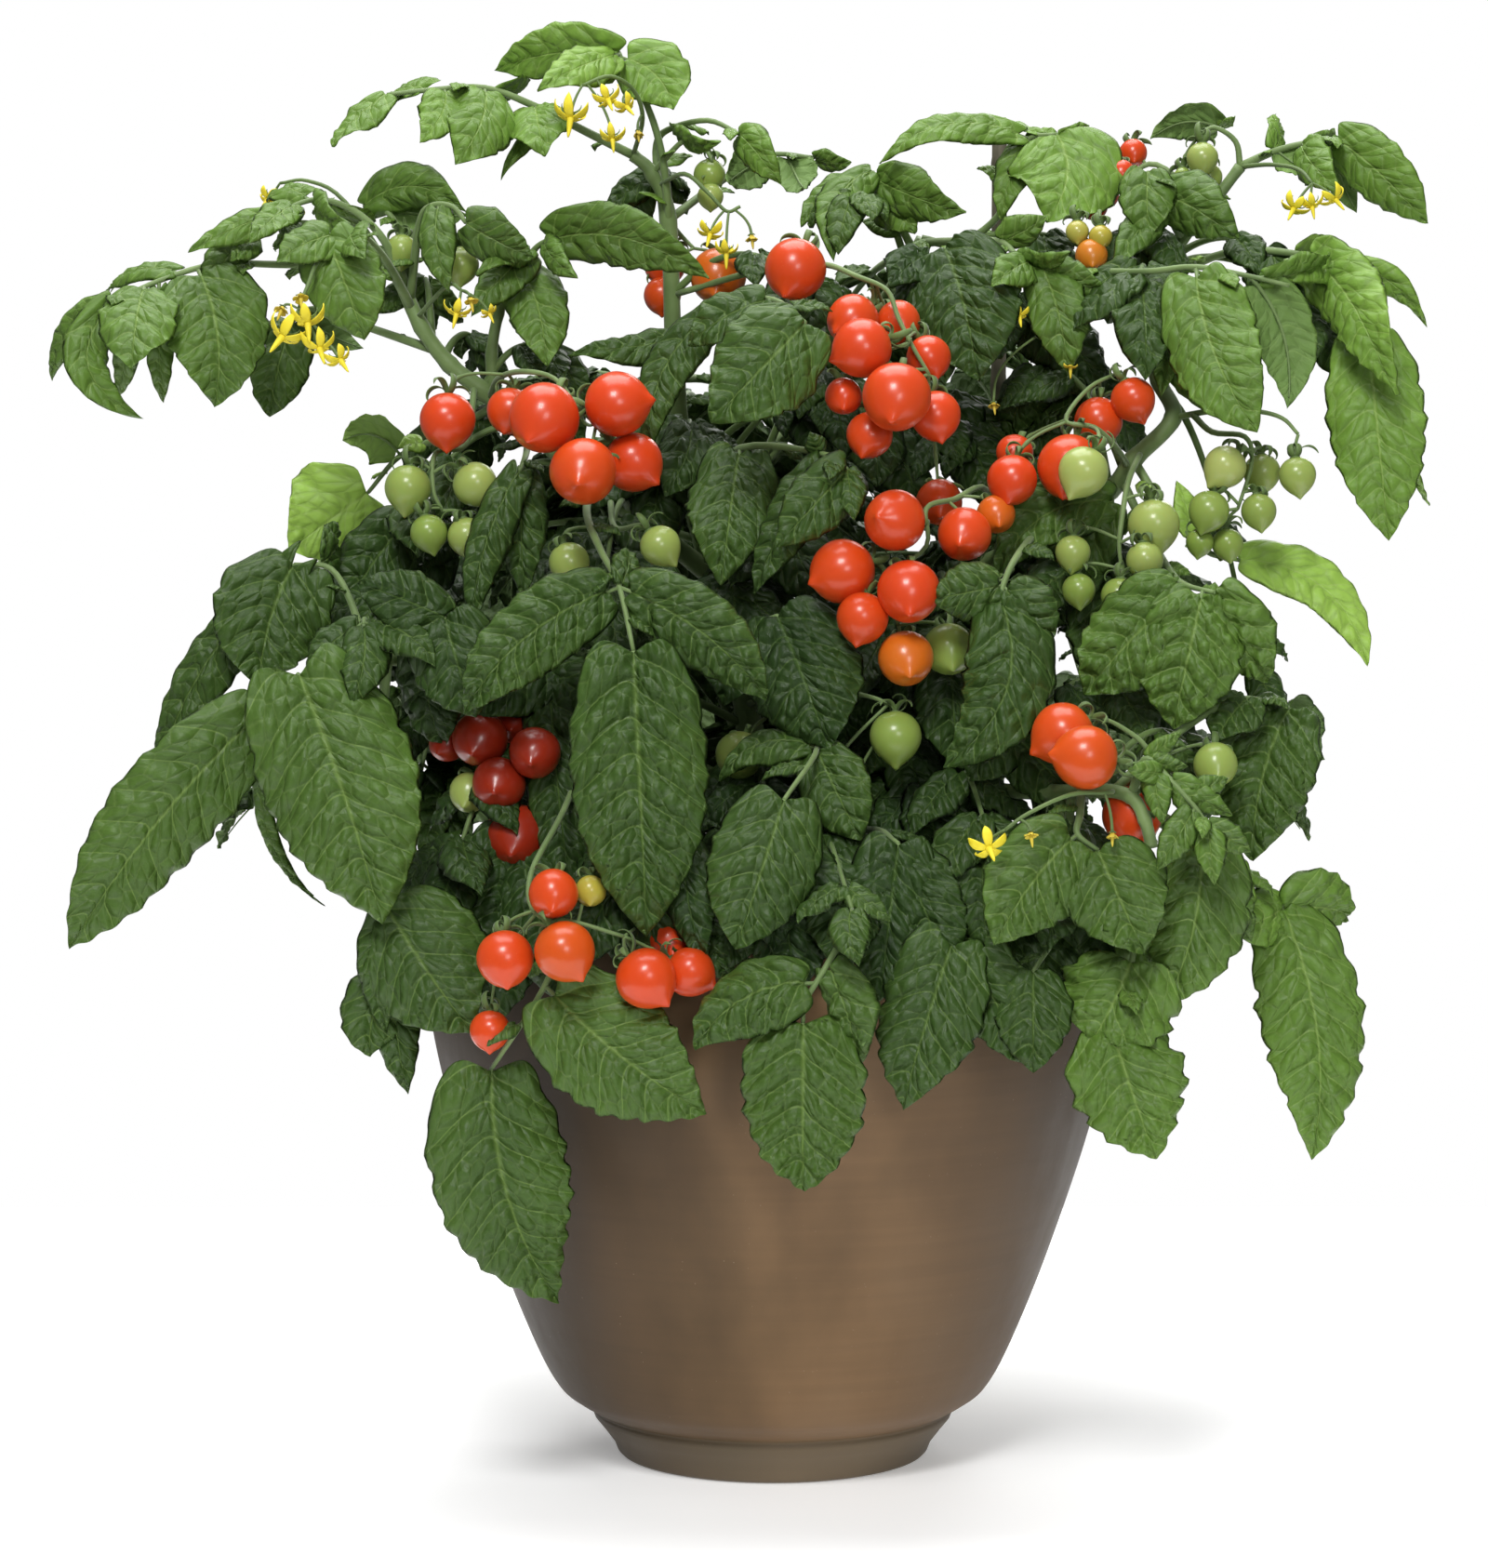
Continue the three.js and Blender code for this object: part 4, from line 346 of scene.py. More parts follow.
TRUSSES = {
  "truss_top_red": {"on": ["main_stem", 7],
    "stalk": [[-40, 522, 28], [-34, 516, 24]],
    "fruits": [[-47.6, 495.6, 18, 8, 0, -0.95, 0.93], [-46.4, 508.8, 26, 9, -0.2, -0.8, 0.96],
      [-23.6, 504, 6, 12, -0.1, -0.6, 0.76]]},
  "truss_left_red": {"on": ["shoot_left", 2.8],
    "stalk": [[-118, 460, -62], [-108, 463, -84], [-94, 460, -96], [-84, 448, -100], [-76, 440, -100]],
    "fruits": [[-140, 442, -84, 12, 0, -0.95, 1], [-113, 446, -78, 10, -0.2, -0.8, 0.97],
      [-98.4, 443, -112, 15.2, -0.35, -0.55, 1], [-67, 449, -106, 14, 0.95, 0.1, 1],
      [-81.6, 420, -122, 14.4, -0.1, -0.3, 0.95], [-60, 424, -98, 12.8, 0.7, -0.6, 1]]},
  "truss_left_green": {"on": ["shoot_left", 3.2],
    "stalk": [[-132, 432, -60], [-145, 428, -76], [-146, 412, -82], [-142, 403, -82]],
    "fruits": [[-157, 413, -84, 10, -0.1, -0.97, 0.08], [-128, 414.5, -84, 9.6, 0.7, -0.75, 0.12],
      [-148, 393.6, -88, 8, 0.25, -0.94, 0.05], [-131.6, 392, -88, 8.4, 0.2, -0.95, 0.1]]},
  "truss_middle_red": {"on": ["main_stem", 6.5],
    "stalk": [[0, 508, -30], [22, 509, -62], [36, 504, -78], [49, 498, -88], [54, 486, -94],
      [60, 474, -98], [67, 462, -100]],
    "fruits": [[9.6, 507, -66, 13.2, -0.3, -0.75, 0.98], [34.4, 485, -84, 11.2, -0.6, -0.4, 0.97],
      [38.4, 473, -104, 12.8, -0.9, -0.35, 1], [30.4, 452.4, -94, 8, 0, -0.6, 1],
      [54, 484, -76, 9.6, 0.4, -0.5, 0.97], [67, 469, -88, 9.6, 0.3, -0.8, 1],
      [53.2, 452, -118, 14.8, -0.15, -0.6, 0.98], [70, 444, -100, 10.8, 0.2, -0.9, 1],
      [41.6, 435.6, -98, 10, -0.3, -0.8, 0.97], [71.6, 406.8, -60, 10, 0, -0.5, 0.97]]},
  "truss_centre": {"on": ["shoot_right", 2.4],
    "stalk": [[92, 412, -62], [78, 408, -92], [66, 404, -104], [66, 388, -106], [50, 373, -106],
      [54, 354, -106]],
    "fruits": [[52.4, 399, -118, 13.2, -0.5, 0.1, 0.98], [82.4, 393, -112, 11.6, -0.2, -0.3, 0.98],
      [96, 401.6, -98, 8.4, 0.1, -0.5, 0.78], [30, 377, -112, 14, -0.85, -0.3, 0.97],
      [58.4, 368.4, -124, 13.6, 0, -0.6, 1], [38.4, 357, -120, 11.2, -0.2, -0.9, 0.97],
      [57.2, 339.6, -116, 12, 0.1, -0.5, 0.72], [75.6, 343.6, -100, 11.2, 0.1, -0.6, 0.06]]},
  "truss_right_red": {"on": ["shoot_right", 4.8],
    "stalk": [[147, 431, -78], [138, 439, -88], [126, 442, -86], [136, 456, -74], [150, 463, -66]],
    "fruits": [[103, 416.4, -96, 10.8, -0.2, -0.8, 1], [104, 428, -76, 8, -0.3, -0.4, 1],
      [127.6, 422, -92, 14, -0.2, -0.8, 0.98], [140, 441.6, -70, 10.4, -0.1, -0.85, 0.97],
      [155, 451, -76, 9.6, 0.4, -0.9, 0.97], [133.6, 420, -112, 10.8, -0.45, -0.85, 0.14]]},
  "truss_right_green": {"on": ["shoot_right", 5.2],
    "stalk": [[153, 416, -84], [150, 399, -94], [149, 388, -96], [150, 378, -96]],
    "fruits": [[164, 397, -96, 11.2, 0.1, -0.95, 0.12], [129, 385, -98, 7.6, -0.1, -0.93, 0.1],
      [160, 382, -104, 8, 0.1, -0.97, 0.12], [131.6, 369, -100, 7.2, 0.05, -0.93, 0.05],
      [149, 366.4, -104, 8, -0.1, -0.98, 0.06]]},
  "truss_far_right_green": {"on": ["shoot_right", 6],
    "stalk": [[189, 446, -66], [207, 446, -72], [219, 443, -76], [226, 436, -78]],
    "fork": {"at": 0.5, "stalk": [[189, 437, -72], [203, 435, -78], [206, 424, -80], [200, 404, -82]]},
    "fruits": [[194.4, 422, -84, 9.2, -0.62, -0.74, 0.18], [210.4, 419.6, -70, 8, 0, -0.95, 0.1],
      [225.6, 418.4, -80, 8, 0.1, -0.97, 0.1], [187.6, 403, -88, 8.8, -0.35, -0.88, 0.06],
      [209, 403, -84, 7.6, 0.1, -0.94, 0.08], [183.6, 389.6, -84, 6, -0.15, -0.95, 0.04],
      [195.6, 388.8, -82, 6.8, 0.1, -0.93, 0.06]]},
  # Painted shade: the ripeness 1.12 of these fruits carries them into the skin's dark red of painted
  # shade.
  "truss_low_left_dark": {"on": ["shoot_low_left", 2.8],
    "stalk": [[-108, 310, -86], [-103, 296, -92], [-100, 284, -94], [-97, 270, -94]],
    "fruits": [[-126, 305, -100, 12, -0.2, -0.4, 1.12], [-140, 303, -88, 8, -0.4, -0.4, 1.12],
      [-102.4, 299, -112, 11.2, -0.1, -0.3, 1.12], [-118, 285.6, -108, 11.6, -0.1, -0.2, 1.12],
      [-110.4, 263, -104, 14, -0.1, -0.4, 1.12], [-130.4, 282, -96, 8.8, -0.2, -0.5, 0.12],
      [-112, 313, -85, 10, 0, -0.3, 1.12], [-86, 269, -90, 9, 0, -0.3, 1.12]]},
  "truss_low_red": {"on": ["shoot_low_left", 2],
    "stalk": [[-90, 274, -128], [-104, 247, -156], [-102, 230, -164], [-84, 226, -168],
      [-64, 220, -168]],
    "fruits": [[-94.4, 238.4, -172, 10.8, 0, -0.5, 0.97], [-115.2, 210.4, -168, 12.4, 0.1, -0.8, 0.97],
      [-89.6, 213.6, -178, 13.2, 0.5, -0.75, 0.88], [-54.4, 202, -172, 13.2, 0.6, -0.7, 0.98],
      [-35.6, 204.8, -164, 10.8, 0.85, -0.5, 0.98], [-121.6, 179.6, -150, 8.8, 0, -0.9, 0.97],
      [-78.4, 239.6, -162, 6.8, 0, -0.7, 0.42], [-45, 218, -150, 10, 0.2, -0.5, 1]]},
  "truss_low_right_red": {"on": ["shoot_low_right", 7],
    "stalk": [[164, 290, -150], [160, 302, -146], [150, 310, -146], [142, 314, -148]],
    "fruits": [[124.8, 307, -150, 13.6, -0.85, -0.5, 0.93], [134.4, 297, -170, 14, -0.95, 0.1, 0.9],
      [154.4, 272, -146, 13, -0.1, -0.9, 0.97], [190.4, 294, -140, 9.6, 0, -0.5, 0.08]]},
  "truss_inner_green": {"on": ["main_stem", 3.2],
    "stalk": [[20, 326, -70], [42, 323, -100], [53, 318, -106]],
    "fruits": [[52.8, 306, -110, 11.2, 0, -0.96, 0.06], [-14.4, 298, -88, 10.4, -0.2, -0.5, 0.08],
      [23.6, 245.2, -120, 7.2, 0, -0.6, 0.1], [19.6, 266.8, -120, 6, 0, -0.8, 0.04]]},
}

SMALL_TRUSSES = {
  "truss_top": {"on": ["main_stem", 8],
    "stalk": [[-44, 557, -8], [-38, 562, -12], [-30, 560, -16], [-26, 553, -18]],
    "fruits": [[-27.2, 547.6, -14, 6.8, -0.1, -0.96, 0.05], [-26.8, 538.4, -18, 5.6, 0, -0.95, 0.1]]},
  "truss_left_pale": {"on": ["shoot_left", 1],
    "stalk": [[-68, 396, -70], [-58, 397, -95], [-54, 396, -100]],
    "fruits": [[-48.4, 388, -104, 8.8, 0.6, -0.76, 0.1], [-87.6, 380.8, -84, 8.8, 0.3, -0.9, 0.1]]},
  "truss_right_top": {"on": ["shoot_right", 11],
    "stalk": [[165, 552, 10], [152, 545, 5], [143, 535, 0], [140, 525, 0]],
    "fruits": [[155, 557, 14, 6, 0, -0.6, 0.98], [150, 548, -4, 6, 0, -0.6, 1],
      [138, 534, -6, 6, 0, -0.6, 0.97], [143, 539, 8, 6, 0.3, -0.6, 1],
      [131, 523, -30, 5, 0, -0.9, 0.35], [141, 521, -34, 5, 0, -0.9, 0.42],
      [137, 513, -34, 7, 0, -0.6, 0.66]]},
  "truss_far_top_green": {"on": ["shoot_right", 12],
    "stalk": [[199, 562, 0], [190, 568, 0], [184, 565, 0]],
    "fruits": [[184.8, 554.8, -4, 6.8, 0, -0.95, 0.12], [187, 546.4, 4, 6.4, 0.2, -0.9, 0.08],
      [176.4, 546.8, 0, 4, 0, -0.8, 0.04]]},
  "truss_upper_left_green": {"on": ["shoot_left", 5.5],
    "stalk": [[-155, 522, -20], [-146, 524, -24]],
    "fruits": [[-159.6, 514.8, -30, 7.2, 0, -0.94, 0.08], [-134.4, 508.8, -40, 8, 0, -0.94, 0.08]]},
}

# A leaf of the far side or of the inside: [stem, place number, heading in degrees from +X, rise
# at the stem in degrees, length of its stalk].
BACK_LEAVES = {
  "leaf_back_right": ["shoot_right", 2.4, 74, 6, 175],
  "leaf_back_middle": ["main_stem", 4.4, 92, 24, 175],
  "leaf_back_left": ["shoot_left", 1.2, 104, 8, 165],
  "leaf_back_high": ["main_stem", 5.8, 84, 14, 145],
  "leaf_back_low": ["main_stem", 2.4, 78, 34, 150],
}
FAR_LEAVES = {
  "leaf_far_a": ["main_stem", 6.0, 62, 6, 120],
  "leaf_far_b": ["main_stem", 5.6, 122, 0, 105],
  "leaf_far_c": ["shoot_mid", 3.0, 70, 8, 110],
  "leaf_far_d": ["shoot_mid", 3.6, 112, 4, 95],
  "leaf_far_e": ["shoot_mid", 2.0, 50, 6, 110],
  "leaf_far_f": ["shoot_right", 4.2, 124, 0, 90],
  "leaf_far_g": ["shoot_left", 2.0, 72, 0, 110],
  "leaf_far_h": ["main_stem", 5.3, 104, 6, 120],
  "leaf_far_i": ["main_stem", 5.0, 66, 16, 150],
  "leaf_far_j": ["main_stem", 4.8, 122, 16, 145],
  "leaf_far_k": ["main_stem", 3.4, 60, 24, 160],
  "leaf_far_l": ["main_stem", 3.6, 128, 22, 155],
  "leaf_far_m": ["main_stem", 2.6, 38, 26, 160],
  "leaf_far_n": ["main_stem", 2.4, 140, 26, 150],
  "leaf_far_o": ["main_stem", 1.8, 100, 40, 170],
  "leaf_far_p": ["main_stem", 1.6, 55, 40, 165],
  "leaf_far_q": ["main_stem", 1.6, 148, 40, 160],
  "leaf_far_r": ["main_stem", 1.7, 12, 38, 165],
  "leaf_far_s": ["main_stem", 1.7, 176, 38, 160],
  "leaf_far_t": ["shoot_right", 2.6, 66, 0, 100],
  "leaf_far_u": ["shoot_low_left", 3.0, 150, 16, 110],
}
INNER_LEAVES = {
  "leaf_inner_a": ["main_stem", 3.0, 200, 30, 120],
  "leaf_inner_b": ["main_stem", 3.4, 320, 34, 110],
  "leaf_inner_c": ["main_stem", 4.0, 20, 30, 130],
  "leaf_inner_d": ["main_stem", 4.6, 165, 20, 120],
  "leaf_inner_e": ["main_stem", 5.2, 40, 20, 120],
  "leaf_inner_f": ["main_stem", 5.8, 140, 26, 110],
  "leaf_inner_g": ["shoot_right", 1.6, 15, 30, 100],
  "leaf_inner_h": ["shoot_right", 3.0, 112, 20, 90],
  "leaf_inner_i": ["shoot_left", 1.6, 80, 10, 100],
  "leaf_inner_j": ["shoot_low_left", 1.6, 120, 30, 110],
  "leaf_inner_k": ["shoot_low_right", 2.6, 60, 30, 110],
  "leaf_inner_l": ["main_stem", 2.2, 250, 30, 90],
  "leaf_inner_m": ["main_stem", 2.6, 285, 30, 100],
}

# A leaf of the inside by where its leaflets meet: [stem, place number, across, up, depth, length of a
# leaflet, tone]. Its tone paints the light and shade it lies in, mostly dark painted shade.
SHADE_LEAVES = {
  "leaf_shade_a": ["main_stem", 5.0, -36, 440, -30, 44, 0.20],
  "leaf_shade_b": ["shoot_mid", 1.0, 30, 462, -10, 42, 0.20],
  "leaf_shade_c": ["shoot_mid", 2.5, 102, 494, -10, 62, 0.16],
  "leaf_shade_d": ["shoot_mid", 3.0, 152, 506, 4, 52, 0.22],
  "leaf_shade_e": ["shoot_right", 4.0, 130, 452, -10, 52, 0.20],
  "leaf_shade_f": ["shoot_mid", 1.5, 80, 450, 4, 50, 0.18],
  "leaf_shade_g": ["shoot_right", 3.0, 140, 372, -66, 60, 0.22],
  "leaf_shade_h": ["shoot_low_right", 4.0, 146, 332, -86, 52, 0.16],
  "leaf_shade_i": ["main_stem", 3.4, 38, 352, -50, 56, 0.10],
  "leaf_shade_j": ["shoot_low_right", 1.5, 56, 312, -60, 50, 0.08],
  "leaf_shade_k": ["shoot_low_left", 2.5, -124, 330, -20, 54, 0.08],
  "leaf_shade_l": ["shoot_low_left", 1.2, -92, 300, -20, 54, 0.04],
  "leaf_shade_m": ["shoot_low_left", 3.4, -152, 288, -30, 46, 0.10],
  "leaf_shade_n": ["shoot_left", 2.0, -156, 400, -40, 56, 0.26],
  "leaf_shade_o": ["shoot_low_left", 4.2, -164, 368, -56, 50, 0.20],
  "leaf_shade_p": ["shoot_low_right", 2.0, 66, 284, -84, 50, 0.08],
  "leaf_shade_q": ["shoot_right", 9.0, 216, 512, -18, 46, 0.28],
  "leaf_shade_r": ["main_stem", 7.0, -52, 548, 20, 36, 0.30],
  "leaf_shade_s": ["main_stem", 1.8, 26, 258, -138, 50, 0.10],
  "leaf_shade_t": ["main_stem", 1.5, -56, 274, -104, 50, 0.06],
  "leaf_shade_u": ["shoot_low_left", 1.0, -98, 276, -86, 50, 0.08],
  "leaf_shade_v": ["shoot_low_right", 2.6, 92, 266, -132, 52, 0.14],
  "leaf_shade_w": ["shoot_low_right", 5.0, 132, 246, -132, 50, 0.20],
  "leaf_shade_x": ["shoot_low_left", 2.5, -136, 254, -106, 50, 0.14],
  "leaf_shade_y": ["shoot_left", 0.8, -72, 376, -66, 60, 0.10],
  "leaf_shade_z": ["main_stem", 4.2, 4, 402, -40, 56, 0.12],
  "leaf_shade_aa": ["shoot_low_left", 5.0, -176, 354, -118, 40, 0.30],
  "leaf_shade_ab": ["main_stem", 5.2, 44, 442, -20, 50, 0.14],
  "leaf_shade_ac": ["shoot_mid", 2.2, 122, 480, -4, 46, 0.18],
  "leaf_shade_ad": ["main_stem", 5.0, -44, 426, -8, 50, 0.14],
  "leaf_shade_ae": ["main_stem", 3.8, -18, 370, -60, 56, 0.10],
  "leaf_shade_af": ["shoot_right", 1.8, 78, 342, -76, 50, 0.14],
  "leaf_shade_ag": ["main_stem", 2.0, 50, 276, -70, 46, 0.06],
  "leaf_shade_ah": ["shoot_right", 9.5, 162, 522, -10, 44, 0.24],
  "leaf_shade_ai": ["main_stem", 6.5, 12, 502, -30, 44, 0.20],
  "leaf_shade_aj": ["shoot_right", 9.0, 230, 488, -30, 44, 0.30],
  "leaf_shade_ao": ["main_stem", 2.0, -4, 264, -132, 54, 0.08],
  "leaf_shade_ap": ["main_stem", 1.6, 34, 232, -176, 30, 0.34],
  "leaf_shade_aq": ["shoot_right", 8.4, 158, 502, -60, 46, 0.28],
  "leaf_shade_ar": ["shoot_mid", 3.4, 34, 538, -10, 30, 0.40],
  "leaf_shade_as": ["shoot_left", 5.9, -228, 520, -40, 28, 0.55],
  "leaf_shade_at": ["shoot_left", 4.6, -150, 502, -6, 32, 0.40],
  "leaf_shade_au": ["shoot_mid", 1.2, 78, 438, -14, 44, 0.14],
  "leaf_shade_av": ["shoot_right", 4.6, 116, 464, -24, 38, 0.20],
  "leaf_shade_aw": ["shoot_low_right", 6.0, 178, 304, -112, 34, 0.34],
  "leaf_shade_ay": ["shoot_left", 4.2, -126, 474, -14, 28, 0.20],
  "leaf_shade_az": ["shoot_left", 3.0, -98, 472, -30, 28, 0.20],
  "leaf_shade_bb": ["shoot_right", 2.8, 70, 436, -20, 34, 0.10],
  "leaf_shade_bc": ["main_stem", 4.8, 24, 454, -24, 32, 0.08],
  "leaf_shade_bd": ["shoot_right", 6.8, 206, 336, -60, 32, 0.26],
  "leaf_shade_be": ["shoot_left", 2.2, -126, 438, -8, 30, 0.14],
  "leaf_shade_bf": ["shoot_left", 1.4, -140, 388, -14, 34, 0.14],
}


# ------------------------------------------------------------------------------ curves and sweeps
def unit(vectors):
    return vectors / np.linalg.norm(vectors, axis=-1, keepdims=True)


def seen(places):
    """Slides places on the upright plane along their lines of sight to their depths."""
    places = np.asarray(places, dtype=float)
    on_plane = (AIM + (places[..., :1] - PLANE_CENTRE[0]) * PLANE_RIGHT
                + (places[..., 1:2] - PLANE_CENTRE[1]) * PLANE_UP)
    sight = on_plane - EYE
    return EYE + sight * (places[..., 2:3] - EYE[1]) / sight[..., 1:2]


def shrink(depth):
    """What looks one long at the depth, as a real length."""
    return (depth - EYE[1]) / -EYE[1]


def along(places, numbers):
    """The uniform Catmull-Rom curve through the places, at place numbers that may be fractions."""
    padded = np.vstack([2 * places[0] - places[1], places, 2 * places[-1] - places[-2]])
    numbers = np.atleast_1d(numbers)
    span = np.clip(np.floor(numbers).astype(int), 0, len(places) - 2)
    f = (numbers - span)[:, None]
    before, start, end, after = (padded[span + k] for k in range(4))
    leave, arrive = (end - before) / 2, (after - start) / 2
    bend = (3 * (end - start) - 2 * leave - arrive) * f**2
    return start + leave * f + bend + (2 * (start - end) + leave + arrive) * f**3


def bezier(start, middle, end, t):
    """The quadratic Bezier curve from start to end that the middle point pulls to itself."""
    t = t[:, None]
    return (1 - t)**2 * start + 2 * t * (1 - t) * middle + t**2 * end


def level_of(centres):
    """The direction across which a curve is flattest, so that it is never along the curve."""
    return np.linalg.svd(centres - centres.mean(0))[2][-1]


def sweep(centres, half_width, half_thick, sides, face=None):
    """An ellipse carried along the centres: half_width sideways and half_thick along the face."""
    tangents = unit(np.gradient(centres, axis=0))
    face = level_of(centres) if face is None else face
    side = unit(np.cross(tangents, face))
    normal = np.cross(side, tangents)
    angle = np.arange(sides) * 2 * np.pi / sides
    wide = np.broadcast_to(half_width, len(centres))[:, None, None]
    thick = np.broadcast_to(half_thick, len(centres))[:, None, None]
    return (centres[:, None] + wide * np.cos(angle)[:, None] * side[:, None]
            - thick * np.sin(angle)[:, None] * normal[:, None])


def tube(places, start_radius, end_radius, sides=8, per_span=5, knuckle=0.0):
    """A round stalk along the curve through the places, swollen once past its middle."""
    last = len(places) - 1
    numbers = np.linspace(0, last, per_span * last + 1)
    share = numbers / last
    radius = start_radius + (end_radius - start_radius) * share
    radius = radius * (1 + knuckle * np.exp(-((share - 0.6) / 0.07)**2))
    return sweep(along(places, numbers), radius, radius, sides)


# ------------------------------------------------------------------------------ meshes
class Piece:
    """Closed surfaces gathered into one mesh. A surface is a stack of rings, closed at both ends."""

    def __init__(self, name, slot, paints):
        self.name, self.slot, self.paints = name, slot, paints
        self.points, self.corners, self.lengths, self.used = [], [], [], []
        self.values = {}
        self.count = 0

    def add(self, rings, ends=None, paint=0, two_sided=False, **values):
        """Rings of points from one end to the other, turning left about the way they go.

        The first half of the rings of a two-sided sheet is its underside. Its squares are split
        along the same diagonals as those over them, so that the two sides never cross.
        """
        number, sides = rings.shape[:2]
        ends = (rings[0].mean(0), rings[-1].mean(0)) if ends is None else ends
        k = np.arange(sides)
        after = np.roll(k, -1)
        row = np.arange(number - 1)[:, None] * sides
        quads = np.stack([row + k, row + after, row + sides + after, row + sides + k], -1)
        if two_sided:
            quads[:, :sides // 2] = np.roll(quads[:, :sides // 2], -1, axis=-1)
        start, last = number * sides, (number - 1) * sides
        first_fan = np.stack([after, k, np.full(sides, start)], -1)
        last_fan = np.stack([last + k, last + after, np.full(sides, start + 1)], -1)
        fans = np.vstack([first_fan, last_fan])
        self.corners += [quads.reshape(-1) + self.count, fans.reshape(-1) + self.count]
        self.lengths += [np.full(quads.size // 4, 4), np.full(len(fans), 3)]
        self.used.append(np.full(quads.size // 4 + len(fans), paint))
        total = number * sides + 2
        self.points.append(np.vstack([rings.reshape(-1, 3), ends[0], ends[1]]))
        for key, value in values.items():
            self.values.setdefault(key, []).append((self.count, self._spread(value, number, sides)))
        self.count += total

    @staticmethod
    def _spread(value, number, sides):
        """A value for each point: of the grid, and the mean of its end rings at both ends."""
        grid = np.broadcast_to(value, (number, sides) + np.shape(value)[2:])
        flat = grid.reshape((number * sides,) + grid.shape[2:])
        return np.concatenate([flat, grid[:1].mean(1), grid[-1:].mean(1)])

    def _gathered(self, key, width):
        made = np.zeros((self.count, width))
        for start, value in self.values.get(key, []):
            made[start:start + len(value)] = value.reshape(len(value), -1)
        return made

    def finish(self, replaces=None):
        mesh = bpy.data.meshes.new(self.name)
        points, corners = np.vstack(self.points) * MM, np.concatenate(self.corners)
        lengths = np.concatenate(self.lengths)
        mesh.vertices.add(len(points))
        mesh.vertices.foreach_set("co", points.ravel())
        mesh.loops.add(len(corners))
        mesh.loops.foreach_set("vertex_index", corners)
        mesh.polygons.add(len(lengths))
        mesh.polygons.foreach_set("loop_start", np.cumsum(lengths) - lengths)
        mesh.polygons.foreach_set("material_index", np.concatenate(self.used))
        mesh.update(calc_edges=True)
        mesh.polygons.foreach_set("use_smooth", np.ones(len(lengths), dtype=bool))
        for key in ("tone", "under"):
            if key in self.values:
                mesh.attributes.new(key, "FLOAT", "POINT").data.foreach_set(
                    "value", self._gathered(key, 1).ravel())
        for key in ("blade", "veins", "net"):
            if key in self.values:
                uv = self._gathered(key, 2)[corners]
                mesh.uv_layers.new(name=key).data.foreach_set("uv", uv.ravel())
        for paint in self.paints:
            mesh.materials.append(paint)
        piece = bpy.data.objects.new(self.name, mesh)
        bpy.context.collection.objects.link(piece)
        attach(piece, "root")
        if replaces:
            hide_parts(replaces)
        return piece


# ------------------------------------------------------------------------------ shader maths
class Value:
    """A number or colour that varies over a surface. Arithmetic on a number adds Math nodes."""

    def __init__(self, paint, socket):
        self.paint, self.socket = paint, socket

    def __add__(self, other):
        return self.paint.math("ADD", self, other)

    def __radd__(self, other):
        return self.paint.math("ADD", other, self)

    def __sub__(self, other):
        return self.paint.math("SUBTRACT", self, other)

    def __rsub__(self, other):
        return self.paint.math("SUBTRACT", other, self)

    def __mul__(self, other):
        return self.paint.math("MULTIPLY", self, other)

    def __rmul__(self, other):
        return self.paint.math("MULTIPLY", other, self)

    def __truediv__(self, other):
        return self.paint.math("DIVIDE", self, other)

    def __rtruediv__(self, other):
        return self.paint.math("DIVIDE", other, self)

    def __pow__(self, other):
        return self.paint.math("POWER", self, other)


